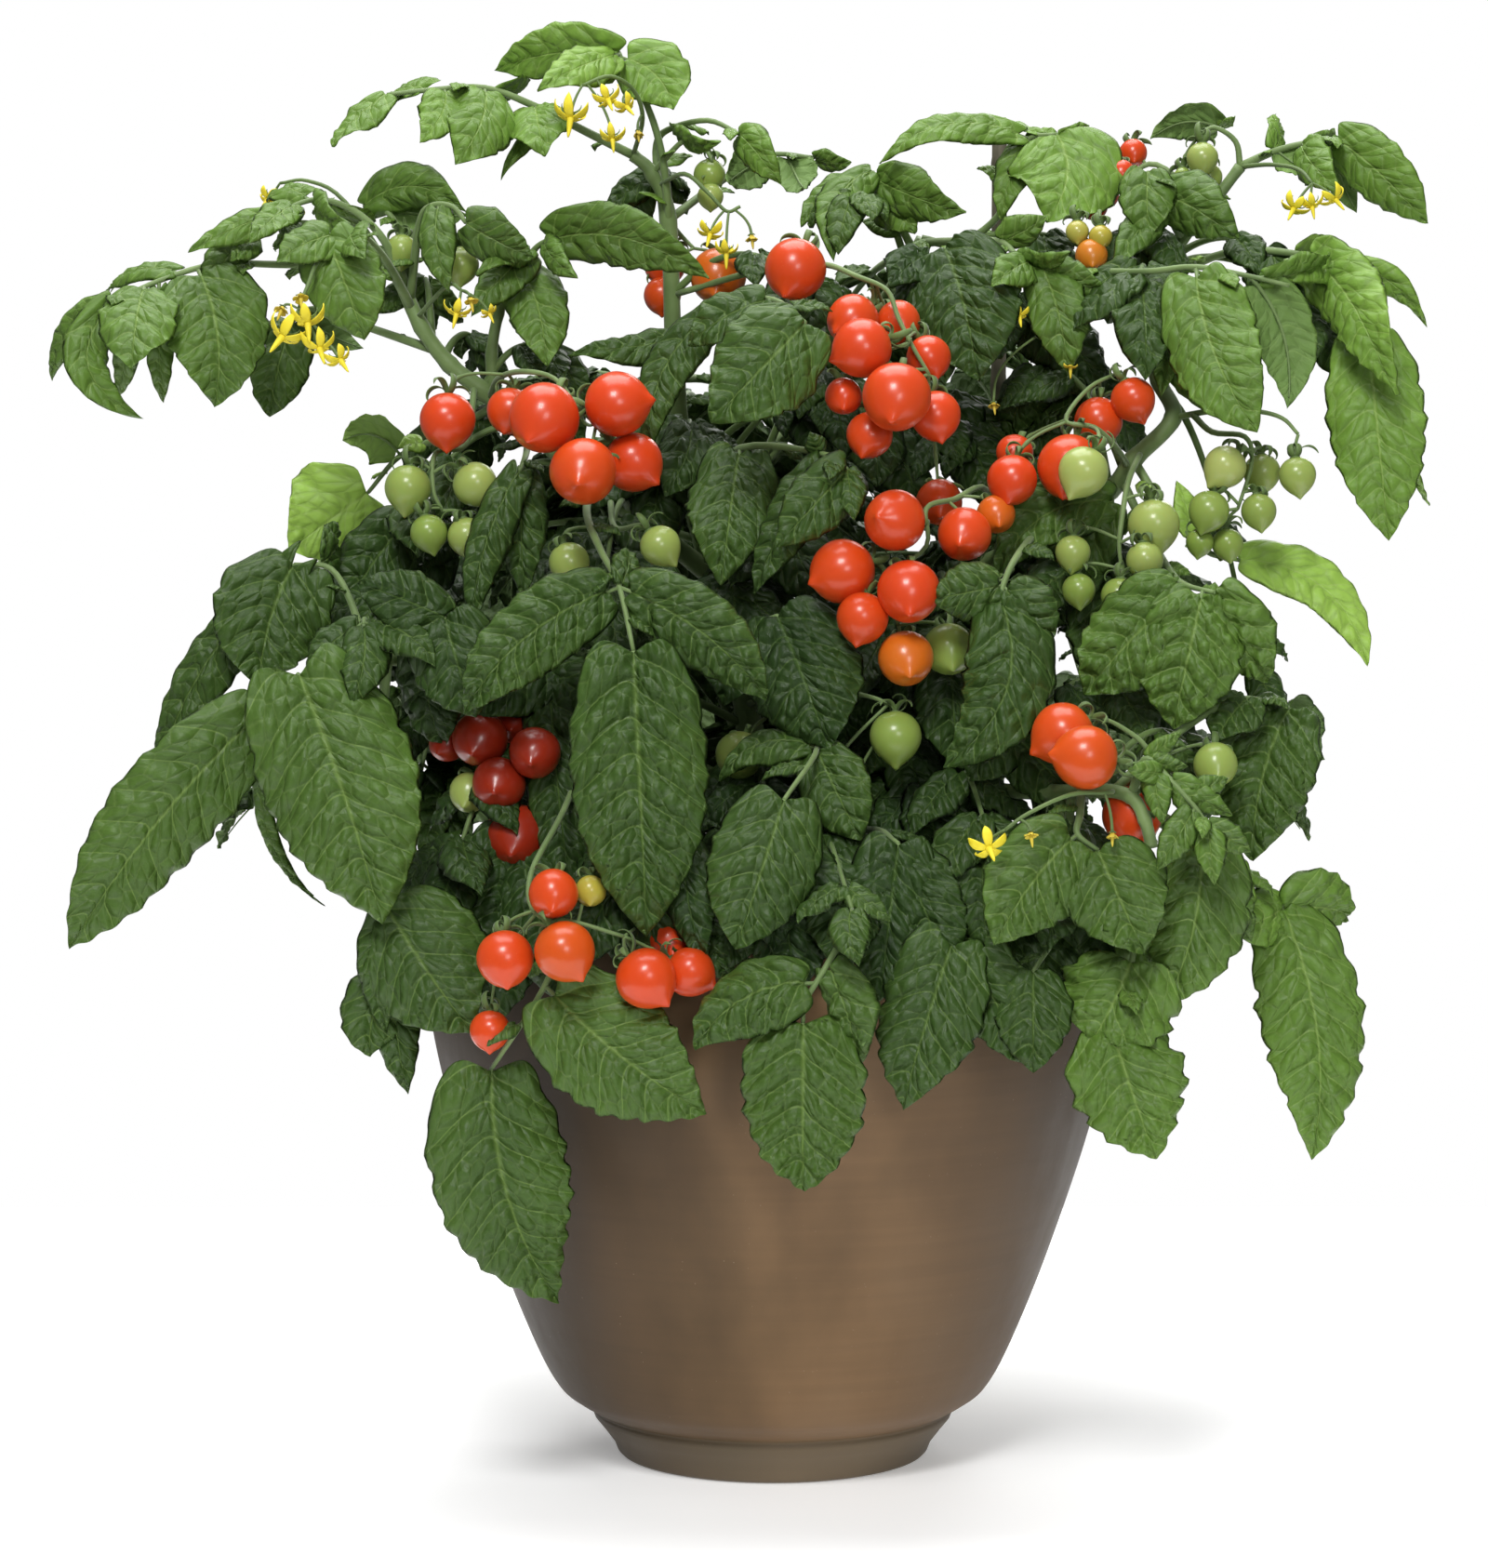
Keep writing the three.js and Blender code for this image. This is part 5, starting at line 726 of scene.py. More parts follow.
class Paint:
    """One material: a Principled shader with constants on its own sockets, and nodes before it."""

    def __init__(self, name, **constants):
        self.material = bpy.data.materials.new(name)
        self.material.use_nodes = True
        self.tree = self.material.node_tree
        self.shader = self.tree.nodes["Principled BSDF"]
        for socket, value in constants.items():
            self.shader.inputs[socket.replace("_", " ")].default_value = value

    def node(self, kind, settings=None, inputs=None, output=0):
        made = self.tree.nodes.new(kind)
        for key, value in (settings or {}).items():
            if key == "stops":
                self._stops(made.color_ramp, value)
            else:
                setattr(made, key, value)
        for key, value in (inputs or {}).items():
            self._plug(made.inputs[key], value)
        return Value(self, made.outputs[output])

    @staticmethod
    def _stops(ramp, stops):
        while len(ramp.elements) < len(stops):
            ramp.elements.new(0.5)
        for element, (position, colour) in zip(ramp.elements, stops):
            element.position, element.color = position, (*colour, 1.0)

    def _plug(self, socket, value):
        if isinstance(value, Value):
            self.tree.links.new(value.socket, socket)
        elif isinstance(value, tuple) and socket.type == "RGBA":
            socket.default_value = (*value, 1.0)
        else:
            socket.default_value = value

    def math(self, operation, left, right=0.0, clamp=False):
        settings = {"operation": operation, "use_clamp": clamp}
        return self.node("ShaderNodeMath", settings, {0: left, 1: right})

    def clamp(self, value):
        return self.math("ADD", value, 0.0, clamp=True)

    def mix(self, share, first, second, blend="MIX"):
        """Colour: first where share is 0, second where it is 1."""
        settings = {"data_type": "RGBA", "blend_type": blend}
        return self.node("ShaderNodeMix", settings, {0: share, 6: first, 7: second}, output=2)

    def ramp(self, value, stops):
        return self.node("ShaderNodeValToRGB", {"stops": stops}, {0: value})

    def place(self, stretch=(1.0, 1.0, 1.0)):
        """Object coordinates in metres, stretched."""
        here = self.node("ShaderNodeTexCoord", output="Object")
        return self.node("ShaderNodeMapping", {}, {"Vector": here, "Scale": stretch})

    def noise(self, vector, scale, detail=2.0, rough=0.5):
        inputs = {"Vector": vector, "Scale": scale, "Detail": detail, "Roughness": rough}
        return self.node("ShaderNodeTexNoise", {}, inputs, output=0)

    def cells(self, vector, scale, feature="DISTANCE_TO_EDGE", flat=False):
        settings = {"feature": feature, "voronoi_dimensions": "2D" if flat else "3D"}
        inputs = {"Vector": vector, "Scale": scale}
        return self.node("ShaderNodeTexVoronoi", settings, inputs, output="Distance")

    def attribute(self, name):
        settings = {"attribute_type": "GEOMETRY", "attribute_name": name}
        return self.node("ShaderNodeAttribute", settings, output="Fac")

    def uv(self, name):
        """Both numbers of a UV map."""
        vector = self.node("ShaderNodeUVMap", {"uv_map": name})
        parts = {0: vector}
        return (self.node("ShaderNodeSeparateXYZ", {}, parts, output=0),
                self.node("ShaderNodeSeparateXYZ", {}, parts, output=1))

    def bump(self, height, strength, distance):
        inputs = {"Height": height, "Strength": strength, "Distance": distance}
        return self.node("ShaderNodeBump", {}, inputs)

    def finish(self, **inputs):
        for socket, value in inputs.items():
            self._plug(self.shader.inputs[socket.replace("_", " ")], value)
        return self.material


def leaf_paint():
    """Green blade: pale sunken veins, a net of fine ones between them, a paler underside, and painted
    shade darkening the creases between its pillows.
    """
    paint = Paint("tomato_leaf", Specular_IOR_Level=0.30)
    phase, spacing = paint.uv("veins")
    across, length = paint.uv("blade")
    off_middle = paint.math("ABSOLUTE", across)
    side_vein = paint.math("PINGPONG", phase, 0.5) * spacing
    side_line = paint.clamp(1.3 - side_vein / (0.50 - 0.30 * off_middle))
    valley = paint.clamp(1.0 - side_vein / 2.6)
    middle_line = paint.clamp(1.0 - off_middle / (0.065 - 0.045 * length))
    mesh = paint.node("ShaderNodeUVMap", {"uv_map": "net"})
    coarse = paint.cells(mesh, 0.15, flat=True)
    fine_line = paint.clamp(1.0 - 8.0 * paint.cells(mesh, 0.40, flat=True))
    net_line = paint.clamp(1.0 - 11.0 * coarse) + 0.3 * fine_line
    dome = paint.clamp(2.0 * coarse)
    pillow = dome * (2.0 - dome)
    here = paint.place()
    patch = paint.noise(here, 30.0, 3.0)
    grain = paint.noise(here, 420.0, 3.0)
    tone = paint.clamp(paint.attribute("tone") + 0.24 * (patch - 0.5) + 0.10 * (grain - 0.5))
    # The tone ramp: its dark end is painted shade for leaves inside and below, its bright end painted
    # light on the lit upper leaves.
    body = paint.ramp(tone, [
        (0.0, (0.015, 0.038, 0.007)), (0.3, (0.036, 0.078, 0.012)), (0.5, (0.068, 0.135, 0.020)),
        (0.75, (0.138, 0.262, 0.034)), (1.0, (0.310, 0.510, 0.080))])
    # Painted shade: the creases between the pillows are darkened.
    body = paint.mix(0.22 * paint.clamp(1.0 - 5.0 * coarse), body, (0.020, 0.045, 0.008))
    vein_colour = paint.mix(tone, (0.060, 0.112, 0.024), (0.330, 0.480, 0.120))
    veined = paint.mix(0.50 * side_line, body, vein_colour)
    veined = paint.mix(0.20 * net_line, veined, vein_colour)
    veined = paint.mix(0.70 * middle_line, veined, vein_colour)
    under = paint.attribute("under")
    back = paint.mix(0.5, veined, (0.165, 0.265, 0.085))
    colour = paint.mix(under, veined, back)
    rough = 0.40 + 0.16 * grain + 0.2 * under
    height = pillow - 0.06 * fine_line + 0.06 * grain - 0.9 * valley - 0.5 * middle_line
    normal = paint.bump((1.25 - 0.95 * tone) * height, 0.66, 0.0015)
    return paint.finish(Base_Color=colour, Roughness=rough, Normal=normal)


def stem_paint(name, pale, deep):
    """Green stalk: streaked along, with a fine downy grain."""
    paint = Paint(name, Specular_IOR_Level=0.4, Sheen_Weight=0.15)
    here = paint.place()
    streak = paint.noise(here, 60.0, 3.0)
    down = paint.noise(here, 900.0, 2.0)
    colour = paint.mix(paint.clamp(1.6 * streak - 0.3), pale, deep)
    normal = paint.bump(down, 0.3, 0.0004)
    return paint.finish(Base_Color=colour, Roughness=0.5 + 0.15 * down, Normal=normal)


def skin_paint():
    """Tomato skin: green, yellow, orange or red by ripeness, glossy, with faint pores; past full ripeness
    it darkens to a dark red of painted shade.
    """
    paint = Paint("tomato_skin", Specular_IOR_Level=0.36, Coat_Weight=0.20, Coat_Roughness=0.14,
                  Subsurface_Weight=0.10, Subsurface_Scale=0.004)
    here = paint.place()
    cloud = paint.noise(here, 70.0, 2.0)
    ripe = paint.clamp(0.86 * paint.attribute("tone") + 0.03 * (cloud - 0.5))
    # Painted shade: the last stop, reached only by ripeness above 1, is a dark red for fruits in shade.
    colour = paint.ramp(ripe, [
        (0.0, (0.165, 0.275, 0.036)), (0.17, (0.400, 0.460, 0.135)), (0.39, (0.430, 0.350, 0.034)),
        (0.62, (0.620, 0.140, 0.010)), (0.76, (0.580, 0.074, 0.006)), (0.86, (0.620, 0.052, 0.008)),
        (1.0, (0.150, 0.008, 0.005))])
    pores = paint.clamp(1.0 - 7.0 * paint.cells(here, 420.0, "F1"))
    colour = paint.mix(0.08 * pores, colour, (0.800, 0.500, 0.200))
    rough = 0.26 + 0.10 * paint.noise(here, 160.0, 2.0)
    normal = paint.bump(paint.noise(here, 60.0, 1.0), 0.05, 0.001)
    return paint.finish(Base_Color=colour, Roughness=rough, Normal=normal)


def petal_paint():
    """Petals and cones: bright yellow, paler at the edge, brown and dull where they wither."""
    paint = Paint("tomato_petal", Specular_IOR_Level=0.3)
    here = paint.place()
    fresh = paint.attribute("tone")
    vein = paint.noise(here, 500.0, 2.0)
    yellow = paint.mix(vein, (0.800, 0.640, 0.016), (0.900, 0.780, 0.060))
    dry = paint.mix(vein, (0.480, 0.330, 0.050), (0.620, 0.480, 0.090))
    colour = paint.mix(fresh, dry, yellow)
    return paint.finish(Base_Color=colour, Roughness=0.55 + 0.1 * vein)


def clay_paint():
    """Brown clay: broad clouds from dark olive to red-brown, throwing lines, fine specks, and painted
    shade that darkens its left and right sides.
    """
    paint = Paint("brown_clay", Specular_IOR_Level=0.24)
    cloud = paint.noise(paint.place((1.0, 1.0, 0.6)), 8.0, 4.0, 0.55)
    fine = paint.noise(paint.place((1.0, 1.0, 0.5)), 60.0, 4.0, 0.6)
    colour = paint.ramp(paint.clamp(1.7 * cloud - 0.35 + 0.22 * (fine - 0.5)), [
        (0.10, (0.062, 0.038, 0.018)), (0.40, (0.138, 0.083, 0.039)), (0.65, (0.205, 0.121, 0.058)),
        (1.0, (0.262, 0.166, 0.090))])
    lines = paint.noise(paint.place((0.03, 0.03, 1.0)), 260.0, 3.0)
    colour = paint.mix(0.35 * lines, colour, (0.070, 0.046, 0.024))
    height = paint.node("ShaderNodeSeparateXYZ", {}, {0: paint.place()}, output=2)
    low = paint.clamp(9.0 - height / 0.0024)
    colour = paint.mix(0.65 * low, colour, (0.138, 0.118, 0.080))
    # Painted shade: the clay is darkened towards its left and right sides, with a ragged edge from the
    # clouds.
    side = paint.node("ShaderNodeSeparateXYZ", {}, {0: paint.place()}, output=0)
    painted_side_shade = paint.clamp(paint.math("ABSOLUTE", side / 0.092 - 0.22) - 0.24 + 0.5 * (cloud - 0.5))
    colour = paint.mix(0.92 * painted_side_shade, colour, (0.030, 0.019, 0.009))
    specks = paint.clamp(1.0 - 9.0 * paint.cells(paint.place(), 300.0, "F1"))
    rare = paint.clamp(14.0 * (paint.noise(paint.place(), 70.0, 1.0) - 0.55))
    colour = paint.mix(0.55 * specks * rare, colour, (0.320, 0.250, 0.180))
    rough = 0.40 + 0.22 * fine
    normal = paint.bump(0.7 * lines + fine + 1.2 * specks * rare, 0.20, 0.0006)
    return paint.finish(Base_Color=colour, Roughness=rough, Normal=normal)


def soil_paint():
    """Potting mix: dark crumbs with a few pale bark chips."""
    paint = Paint("potting_mix", Specular_IOR_Level=0.2)
    here = paint.place()
    grain = paint.noise(here, 220.0, 5.0, 0.7)
    chips = paint.cells(here, 150.0, "F1")
    colour = paint.mix(grain, (0.012, 0.008, 0.005), (0.065, 0.042, 0.026))
    colour = paint.mix(0.35 * paint.clamp(1.0 - 5.0 * chips), colour, (0.120, 0.085, 0.055))
    normal = paint.bump(grain + 0.6 * chips, 0.9, 0.002)
    return paint.finish(Base_Color=colour, Roughness=0.85 + 0.1 * grain, Normal=normal)


def cane_paint():
    """Dry cane: grey straw with dark streaks along it."""
    paint = Paint("dry_cane", Specular_IOR_Level=0.3)
    streak = paint.noise(paint.place((1.0, 1.0, 0.04)), 900.0, 3.0)
    patch = paint.noise(paint.place(), 40.0, 3.0)
    colour = paint.mix(streak, (0.090, 0.078, 0.056), (0.230, 0.205, 0.150))
    colour = paint.mix(0.6 * patch, colour, (0.130, 0.125, 0.085))
    return paint.finish(Base_Color=colour, Roughness=0.6 + 0.2 * streak,
                        Normal=paint.bump(streak, 0.4, 0.0004))


LEAF = leaf_paint()
STALK = stem_paint("tomato_stem", (0.205, 0.300, 0.105), (0.090, 0.150, 0.040))
CALYX = stem_paint("tomato_calyx", (0.150, 0.235, 0.065), (0.065, 0.115, 0.026))
SKIN = skin_paint()
PETAL = petal_paint()
CLAY = clay_paint()
SOIL = soil_paint()
CANE = cane_paint()


# ------------------------------------------------------------------------------ pot, soil and cane
def turned(profile, segments):
    """A profile of [radius, height] turned about the pot's axis, from its first point to its last."""
    radius, height = profile.T
    angle = -np.arange(segments) * 2 * np.pi / segments
    ring = np.stack([np.cos(angle), np.sin(angle), np.zeros(segments)], -1)
    return radius[:, None, None] * ring + height[:, None, None] * np.array([0.0, 0.0, 1.0])


def pot_outside():
    """The foot, the groove above it, and the bowl's side as a curve through its widths."""
    foot = [[40, 0], [FOOT_RADIUS - 4, 0], [FOOT_RADIUS - 2, 0.6], [FOOT_RADIUS - 0.6, 2],
            [FOOT_RADIUS + 1, 6], [73.5, 12], [77.2, FOOT_HEIGHT - 2.5], [77.8, FOOT_HEIGHT - 1],
            [77.2, FOOT_HEIGHT], [76.9, FOOT_HEIGHT + 0.9], [78.2, FOOT_HEIGHT + 1.8]]
    side = np.array([[80, 21.6], [86.5, 25.5], [93, 31], [101, 45], [112.8, 73], [124, 104],
                     [134.4, 136], [142, 164], [147.5, 192], [POT_RIM_RADIUS, 222],
                     [POT_RIM_RADIUS, POT_HEIGHT - 4]], dtype=float)
    smooth = along(side, np.linspace(0, len(side) - 1, 8 * (len(side) - 1) + 1))
    return np.vstack([foot, smooth])


def pot_inside():
    """The rim's round lip, and the wall inside it down to the floor."""
    turn = np.linspace(0.15, 0.85, 6) * np.pi
    middle = POT_RIM_RADIUS - POT_WALL / 2
    lip = np.stack([middle + POT_WALL / 2 * np.cos(turn), POT_HEIGHT - 4 + 4 * np.sin(turn)], -1)
    wall = [[r - POT_WALL, z] for r, z in [[POT_RIM_RADIUS, 228], [148.5, 205], [142, 164],
                                           [124, 104], [101, 45]]]
    return np.vstack([lip, wall, [[60, POT_FLOOR]]])


def clay_pot():
    """The outside's profile and then the inside's, turned into one closed shell."""
    pot = Piece("clay_pot", "clay", [CLAY])
    profile = np.vstack([pot_outside(), pot_inside()])
    rings = turned(profile, 180)
    pot.add(rings[:, ::-1], ends=([0, 0, 0], [0, 0, POT_FLOOR]))
    pot.finish(replaces="pot")


def lumps(x, y, rng, count, longest):
    """A bumpy height: waves of many directions and lengths added up."""
    heading = rng.uniform(0, 2 * np.pi, count)
    length = longest * rng.uniform(0.12, 1.0, count)
    shift = rng.uniform(0, 2 * np.pi, count)
    run = x[..., None] * np.cos(heading) + y[..., None] * np.sin(heading)
    return (np.sin(2 * np.pi * run / length + shift) * length / longest).sum(-1) / math.sqrt(count)


def potting_soil():
    """A disc of soil with a lumpy top, and loose crumbs lying on it."""
    rng = np.random.default_rng(11)
    soil = Piece("potting_soil", "soil", [SOIL])
    edge = POT_RIM_RADIUS - POT_WALL - 2.5
    radius = edge * np.linspace(1.0, 0.02, 60)
    angle = np.arange(150) * 2 * np.pi / 150
    x, y = radius[:, None] * np.cos(angle), radius[:, None] * np.sin(angle)
    top = SOIL_TOP - 4 * (radius[:, None] / edge)**6 + 2.2 * lumps(x, y, rng, 40, 45.0)
    under = np.stack([x[:1] * 0.92, y[:1] * 0.92, np.full_like(x[:1], SOIL_BOTTOM)], -1)
    soil.add(np.vstack([under, np.stack([x, y, top], -1)]))
    for _ in range(CRUMBS):
        far, heading = edge * 0.97 * math.sqrt(rng.random()), rng.uniform(0, 2 * np.pi)
        spot = np.array([far * math.cos(heading), far * math.sin(heading), SOIL_TOP + 1.0])
        size = rng.uniform(1.2, 3.6)
        run = unit(rng.normal(size=3)) * size
        line = spot + np.linspace(-1, 1, 4)[:, None] * run
        soil.add(sweep(line, size * np.array([0.5, 0.9, 0.8, 0.4]) * rng.uniform(0.6, 1.1, 4),
                       size * np.array([0.3, 0.7, 0.6, 0.3]), 6))
    soil.finish(replaces="soil")


def plant_cane():
    """A cane, a little swollen at its joints."""
    cane = Piece("plant_cane", "cane", [CANE])
    top = seen(CANE_PLACE)
    height = np.linspace(CANE_BOTTOM, top[2], 160)
    joint = ((height - 30) % 96) / 96
    radius = CANE_RADIUS * (1 + 0.16 * np.exp(-((joint - 0.5) / 0.02)**2) - 0.06 * joint)
    centres = np.stack([np.full_like(height, top[0]), np.full_like(height, top[1]), height], -1)
    cane.add(sweep(centres, radius, radius, 16, face=np.array([0.0, 1.0, 0.0])))
    cane.finish(replaces="cane")


# ------------------------------------------------------------------------------ stems
stem_places = {}
for stem_name, stem in STEMS.items():
    stem_route = seen(stem["path"])
    if "on" in stem:
        parent, number = stem["on"]
        stem_route = np.vstack([along(stem_places[parent], number), stem_route])
    stem_places[stem_name] = stem_route


def stems():
    """Each stem is a tapering tube, a little swollen where leaves leave it."""
    for node in sorted({stem["node"] for stem in STEMS.values()}):
        piece = Piece("tomato_" + node, "stem", [STALK])
        for name, stem in STEMS.items():
            if stem["node"] == node:
                piece.add(stem_tube(stem_places[name], *stem["radii"]))
        piece.finish(replaces=node)


def stem_tube(places, start_radius, end_radius):
    """A tube along the curve through the places, swollen like a bell curve at each of them."""
    last = len(places) - 1
    numbers = np.linspace(0, last, 9 * last + 1)
    radius = start_radius + (end_radius - start_radius) * numbers / last
    swell = 1 + 0.16 * np.exp(-((numbers - np.round(numbers)) / 0.13)**2)
    return sweep(along(places, numbers), radius * swell, radius * swell, 14)


# ------------------------------------------------------------------------------ leaves
def ovate(t, full):
    """Half the width of a blade along its length: a round base, full sides and a drawn-out point."""
    peak = 0.36
    base = np.clip(1 - t / peak, 0, 1)
    end = np.clip((t - peak) / (1 - peak), 0, 1)
    return (1 - base**2.4)**0.5 * (1 - end**(1.9 + 0.8 * full))**(1.1 - 0.1 * full)


def leaflet(piece, base, tip, width, face, bow, bend, looks, rng, petiole=0.06):
    """One closed blade on a grid of length by round.

    Across, a point goes from the middle vein, x = 0, to either edge, x = 1 or -1, first under the
    blade and then over it. Along, t goes from base to tip on a curved middle vein. The width is
    an ovate curve with round lobes where the side veins end. The height over the middle vein is
    a shoulder that rises and droops to the edge, puffs between the side veins, and edge waves.
    """
    tone, quilt, lobe, coarse = (*looks, 1.0)[:4]
    length = np.linalg.norm(tip - base)
    straight = (tip - base) / length
    face = unit(face - (face @ straight) * straight)
    side = np.cross(straight, face)
    middle = (base + tip) / 2 + 2 * length * (bow * face + bend * side)
    rows = int(np.clip(length / (ROW_STEP * coarse), *ROWS))
    cells = int(np.clip(width / (COLUMN_STEP * coarse), *COLUMNS))
    t = np.linspace(0, 1, rows + 2)[1:-1]
    t = t - 0.45 * np.sin(2 * np.pi * t) / (2 * np.pi)
    x = np.linspace(-1, 1, cells + 1)
    x = x * (1.25 - 0.25 * np.abs(x))
    x = np.concatenate([x[:0:-1], x[:-1]])[None, :]
    over = np.where(np.arange(2 * cells) < cells, -1.0, 1.0)[None, :]
    ax, t2 = np.abs(x), t[:, None]
    half = width / 2 * ovate(t2, rng.uniform(0.2, 1.0) if width > 24 else 0.0)
    veins = float(np.clip(length / 11.0, 4, 8))
    spacing = length / veins
    slant = 0.55
    stagger = 0.25 * np.tanh(8 * x)
    phase = veins * (t2 - slant * ax * half * (1 + 0.3 * ax) / length) + stagger
    edge_phase = veins * (t2 - slant * half * 1.3 / length) + 0.25 * np.sign(x)
    teeth = np.abs(np.cos(np.pi * edge_phase)) - 0.62
    teeth = teeth + 0.25 * (np.abs(np.cos(2 * np.pi * edge_phase + 0.6)) - 0.62)
    drift = rng.uniform(0, 2 * np.pi, 4)
    uneven = 1 + 0.6 * np.sin(1.1 * np.pi * edge_phase + drift[0])
    out = ax * half * (1 + lobe * teeth * uneven * ax**2)
    puff = np.sqrt(0.5 - 0.5 * np.cos(2 * np.pi * phase))
    room = (1 - ax**5) * np.minimum(1, half / (0.2 * width))
    cell = 0.5 * spacing
    wander = 0.3 * np.sin(1.7 * np.pi * phase + drift[1]) + 0.3 * np.sin(out / cell + drift[2])
    cross = np.sin(np.pi * (out / cell + wander) + drift[3] * np.sign(x))**2
    height = quilt * spacing * room * puff * (0.18 + 0.34 * cross)
    height = height * np.minimum(1, 0.25 + 5 * ax)
    fold, droop = rng.uniform(0.16, 0.34), rng.uniform(0.30, 0.60)
    height = height + fold * out - droop * out**2 / (width / 2)
    wave = width * rng.uniform(0.035, 0.075) * ax**3
    shift = rng.uniform(0, 2 * np.pi, 2)
    height = height + wave * np.sin(2 * np.pi * 1.7 * t2 + np.where(x > 0, shift[0], shift[1]))
    height = height + 0.5 * wave * np.cos(2 * np.pi * edge_phase)
    curl = rng.uniform(0.0, 0.35) * length * np.clip(t2 - 0.55, 0, 1)**2
    height = height - curl
    start = min(petiole * length, 6.0) / length
    t_mid = start + (1 - start) * t
    spine = bezier(base, middle, tip, t_mid)
    tangent = unit(np.gradient(spine, axis=0))
    twist = rng.uniform(-0.28, 0.28) * (t - 0.25)
    flat_side = unit(np.cross(tangent, face))
    normal = np.cross(flat_side, tangent)
    turned_side = np.cos(twist)[:, None] * flat_side + np.sin(twist)[:, None] * normal
    normal = np.cross(turned_side, tangent)
    back = -rng.uniform(0.06, 0.12) * length * ax**1.6 * (t2 / 0.05) * np.exp(1 - t2 / 0.05)
    thick = over * LEAF_THICKNESS / 2 * np.sqrt(1 - ax**2)
    rings = (spine[:, None] + (np.sign(x) * out)[..., None] * turned_side[:, None]
             + (height + thick)[..., None] * normal[:, None] + back[..., None] * tangent[:, None])
    under = np.where(over < 0, 1.0, 0.0) * np.where(ax > 0.999, 0.2, 1.0)
    tone = tone + rng.uniform(-0.05, 0.05) - 0.05 * (1 - ax)
    blade = np.stack(np.broadcast_arrays(x, t2), -1)
    vein_map = np.stack(np.broadcast_arrays(phase, spacing), -1)
    net_map = np.stack(np.broadcast_arrays(phase * spacing, np.sign(x) * out + 31 * drift[0]), -1)
    piece.add(rings, ends=(spine[0], tip - curl[-1] * normal[-1]), two_sided=True, tone=tone,
              blade=blade, veins=vein_map, net=net_map, under=under)
    keel = spine - (curl[:, 0] + 0.45)[:, None] * normal
    keel = np.vstack([base, keel[:int(0.9 * rows)]])
    radius = np.linspace(0.95, 0.25, len(keel)) * min(1.0, 0.5 + length / 120)
    piece.add(sweep(keel, radius, radius, 6), paint=1, tone=0.5)


def facing_eye(base, tip, turn):
    """The way a blade faces: to the viewer, turned about its own length."""
    straight = unit(tip - base)
    to_eye = unit(EYE - base)
    face = unit(to_eye - (to_eye @ straight) * straight)
    turn = math.radians(turn)
    return math.cos(turn) * face + math.sin(turn) * np.cross(straight, face)


def small_leaflets(piece, places, looks, rng):
    """Small leaflets between the large ones, alternately on both sides of the leaf's stalk."""
    last = len(places) - 1
    steps = np.linalg.norm(np.diff(places, axis=0), axis=1)
    hand = 1
    for span in range(last):
        if steps[span] < 13:
            continue
        number = span + rng.uniform(0.35, 0.75)
        base, ahead = along(places, [number, min(number + 0.1, last)])
        tangent = unit(ahead - base)
        sideways = unit(np.cross(tangent, [0.0, 0.0, 1.0])) * hand
        direction = unit(sideways + rng.uniform(0.2, 0.7) * tangent + [0, 0, rng.uniform(-0.5, 0.1)])
        length = rng.uniform(10, 20)
        face = np.array([0.0, -0.5, 1.0]) + rng.normal(0, 0.2, 3)
        leaflet(piece, base, base + length * direction, length * rng.uniform(0.5, 0.62), face,
                rng.uniform(0.05, 0.15), 0.0, looks, rng, petiole=0.12)
        hand = -hand


def compound_leaf(name, row, replaces=None):
    """A leaf: its stalk through its places, its leaflets by their tips, and small ones between."""
    rng = np.random.default_rng(zlib.crc32(name.encode()))
    piece = Piece("tomato_" + name, "leaf", [LEAF, STALK])
    parent, number = row["on"]
    places = np.vstack([along(stem_places[parent], number), seen(row["stalk"])])
    piece.add(tube(places, RACHIS_RADIUS + 0.5, RACHIS_RADIUS - 0.6), paint=1, tone=0.5)
    for where, across, up, depth, width, turn, bow, bend in row["blades"]:
        base, tip = along(places, where)[0], seen([across, up, depth])
        leaflet(piece, base, tip, width * shrink(depth), facing_eye(base, tip, turn), bow, bend,
                row["looks"], rng, petiole=0.0 if where == len(places) - 1 else 0.06)
    small_leaflets(piece, places, row["looks"], rng)
    piece.finish(replaces=replaces)


def arching_leaf(name, stem, number, heading, rise, length, looks, replaces=None):
    """A leaf that arches out along its heading and droops: leaflets in pairs and one at the end."""
    rng = np.random.default_rng(zlib.crc32(name.encode()))
    piece = Piece("tomato_" + name, "leaf", [LEAF, STALK])
    start = along(stem_places[stem], number)[0]
    heading, lift = math.radians(heading), math.tan(math.radians(rise))
    outward = np.array([math.cos(heading), math.sin(heading), 0.0])
    sideways = np.array([-math.sin(heading), math.cos(heading), 0.0])
    reach = np.linspace(0, 1, 5)[:, None]
    places = start + length * (reach * outward + [0, 0, 1] * (lift * reach - 0.45 * reach**2))
    piece.add(tube(places, RACHIS_RADIUS + 0.5, RACHIS_RADIUS - 0.6), paint=1, tone=0.5)
    plan = [(1.0, 0, 0.55)] + [(at, hand, 0.42) for at in (0.45, 0.75) for hand in (1, -1)]
    for at, hand, size in plan:
        base = along(places, 4 * at)[0]
        ahead = 0.12 if hand else 0.5
        tip = base + length * (hand * size * sideways + ahead * outward + [0, 0, -0.3])
        face = np.array([0.0, 0.0, 1.0]) + 0.25 * outward + rng.normal(0, 0.08, 3)
        leaflet(piece, base, tip, 0.5 * size * length, face, rng.uniform(0.04, 0.12),
                rng.uniform(-0.06, 0.06), looks, rng)
    small_leaflets(piece, places, looks, rng)
    piece.finish(replaces=replaces)


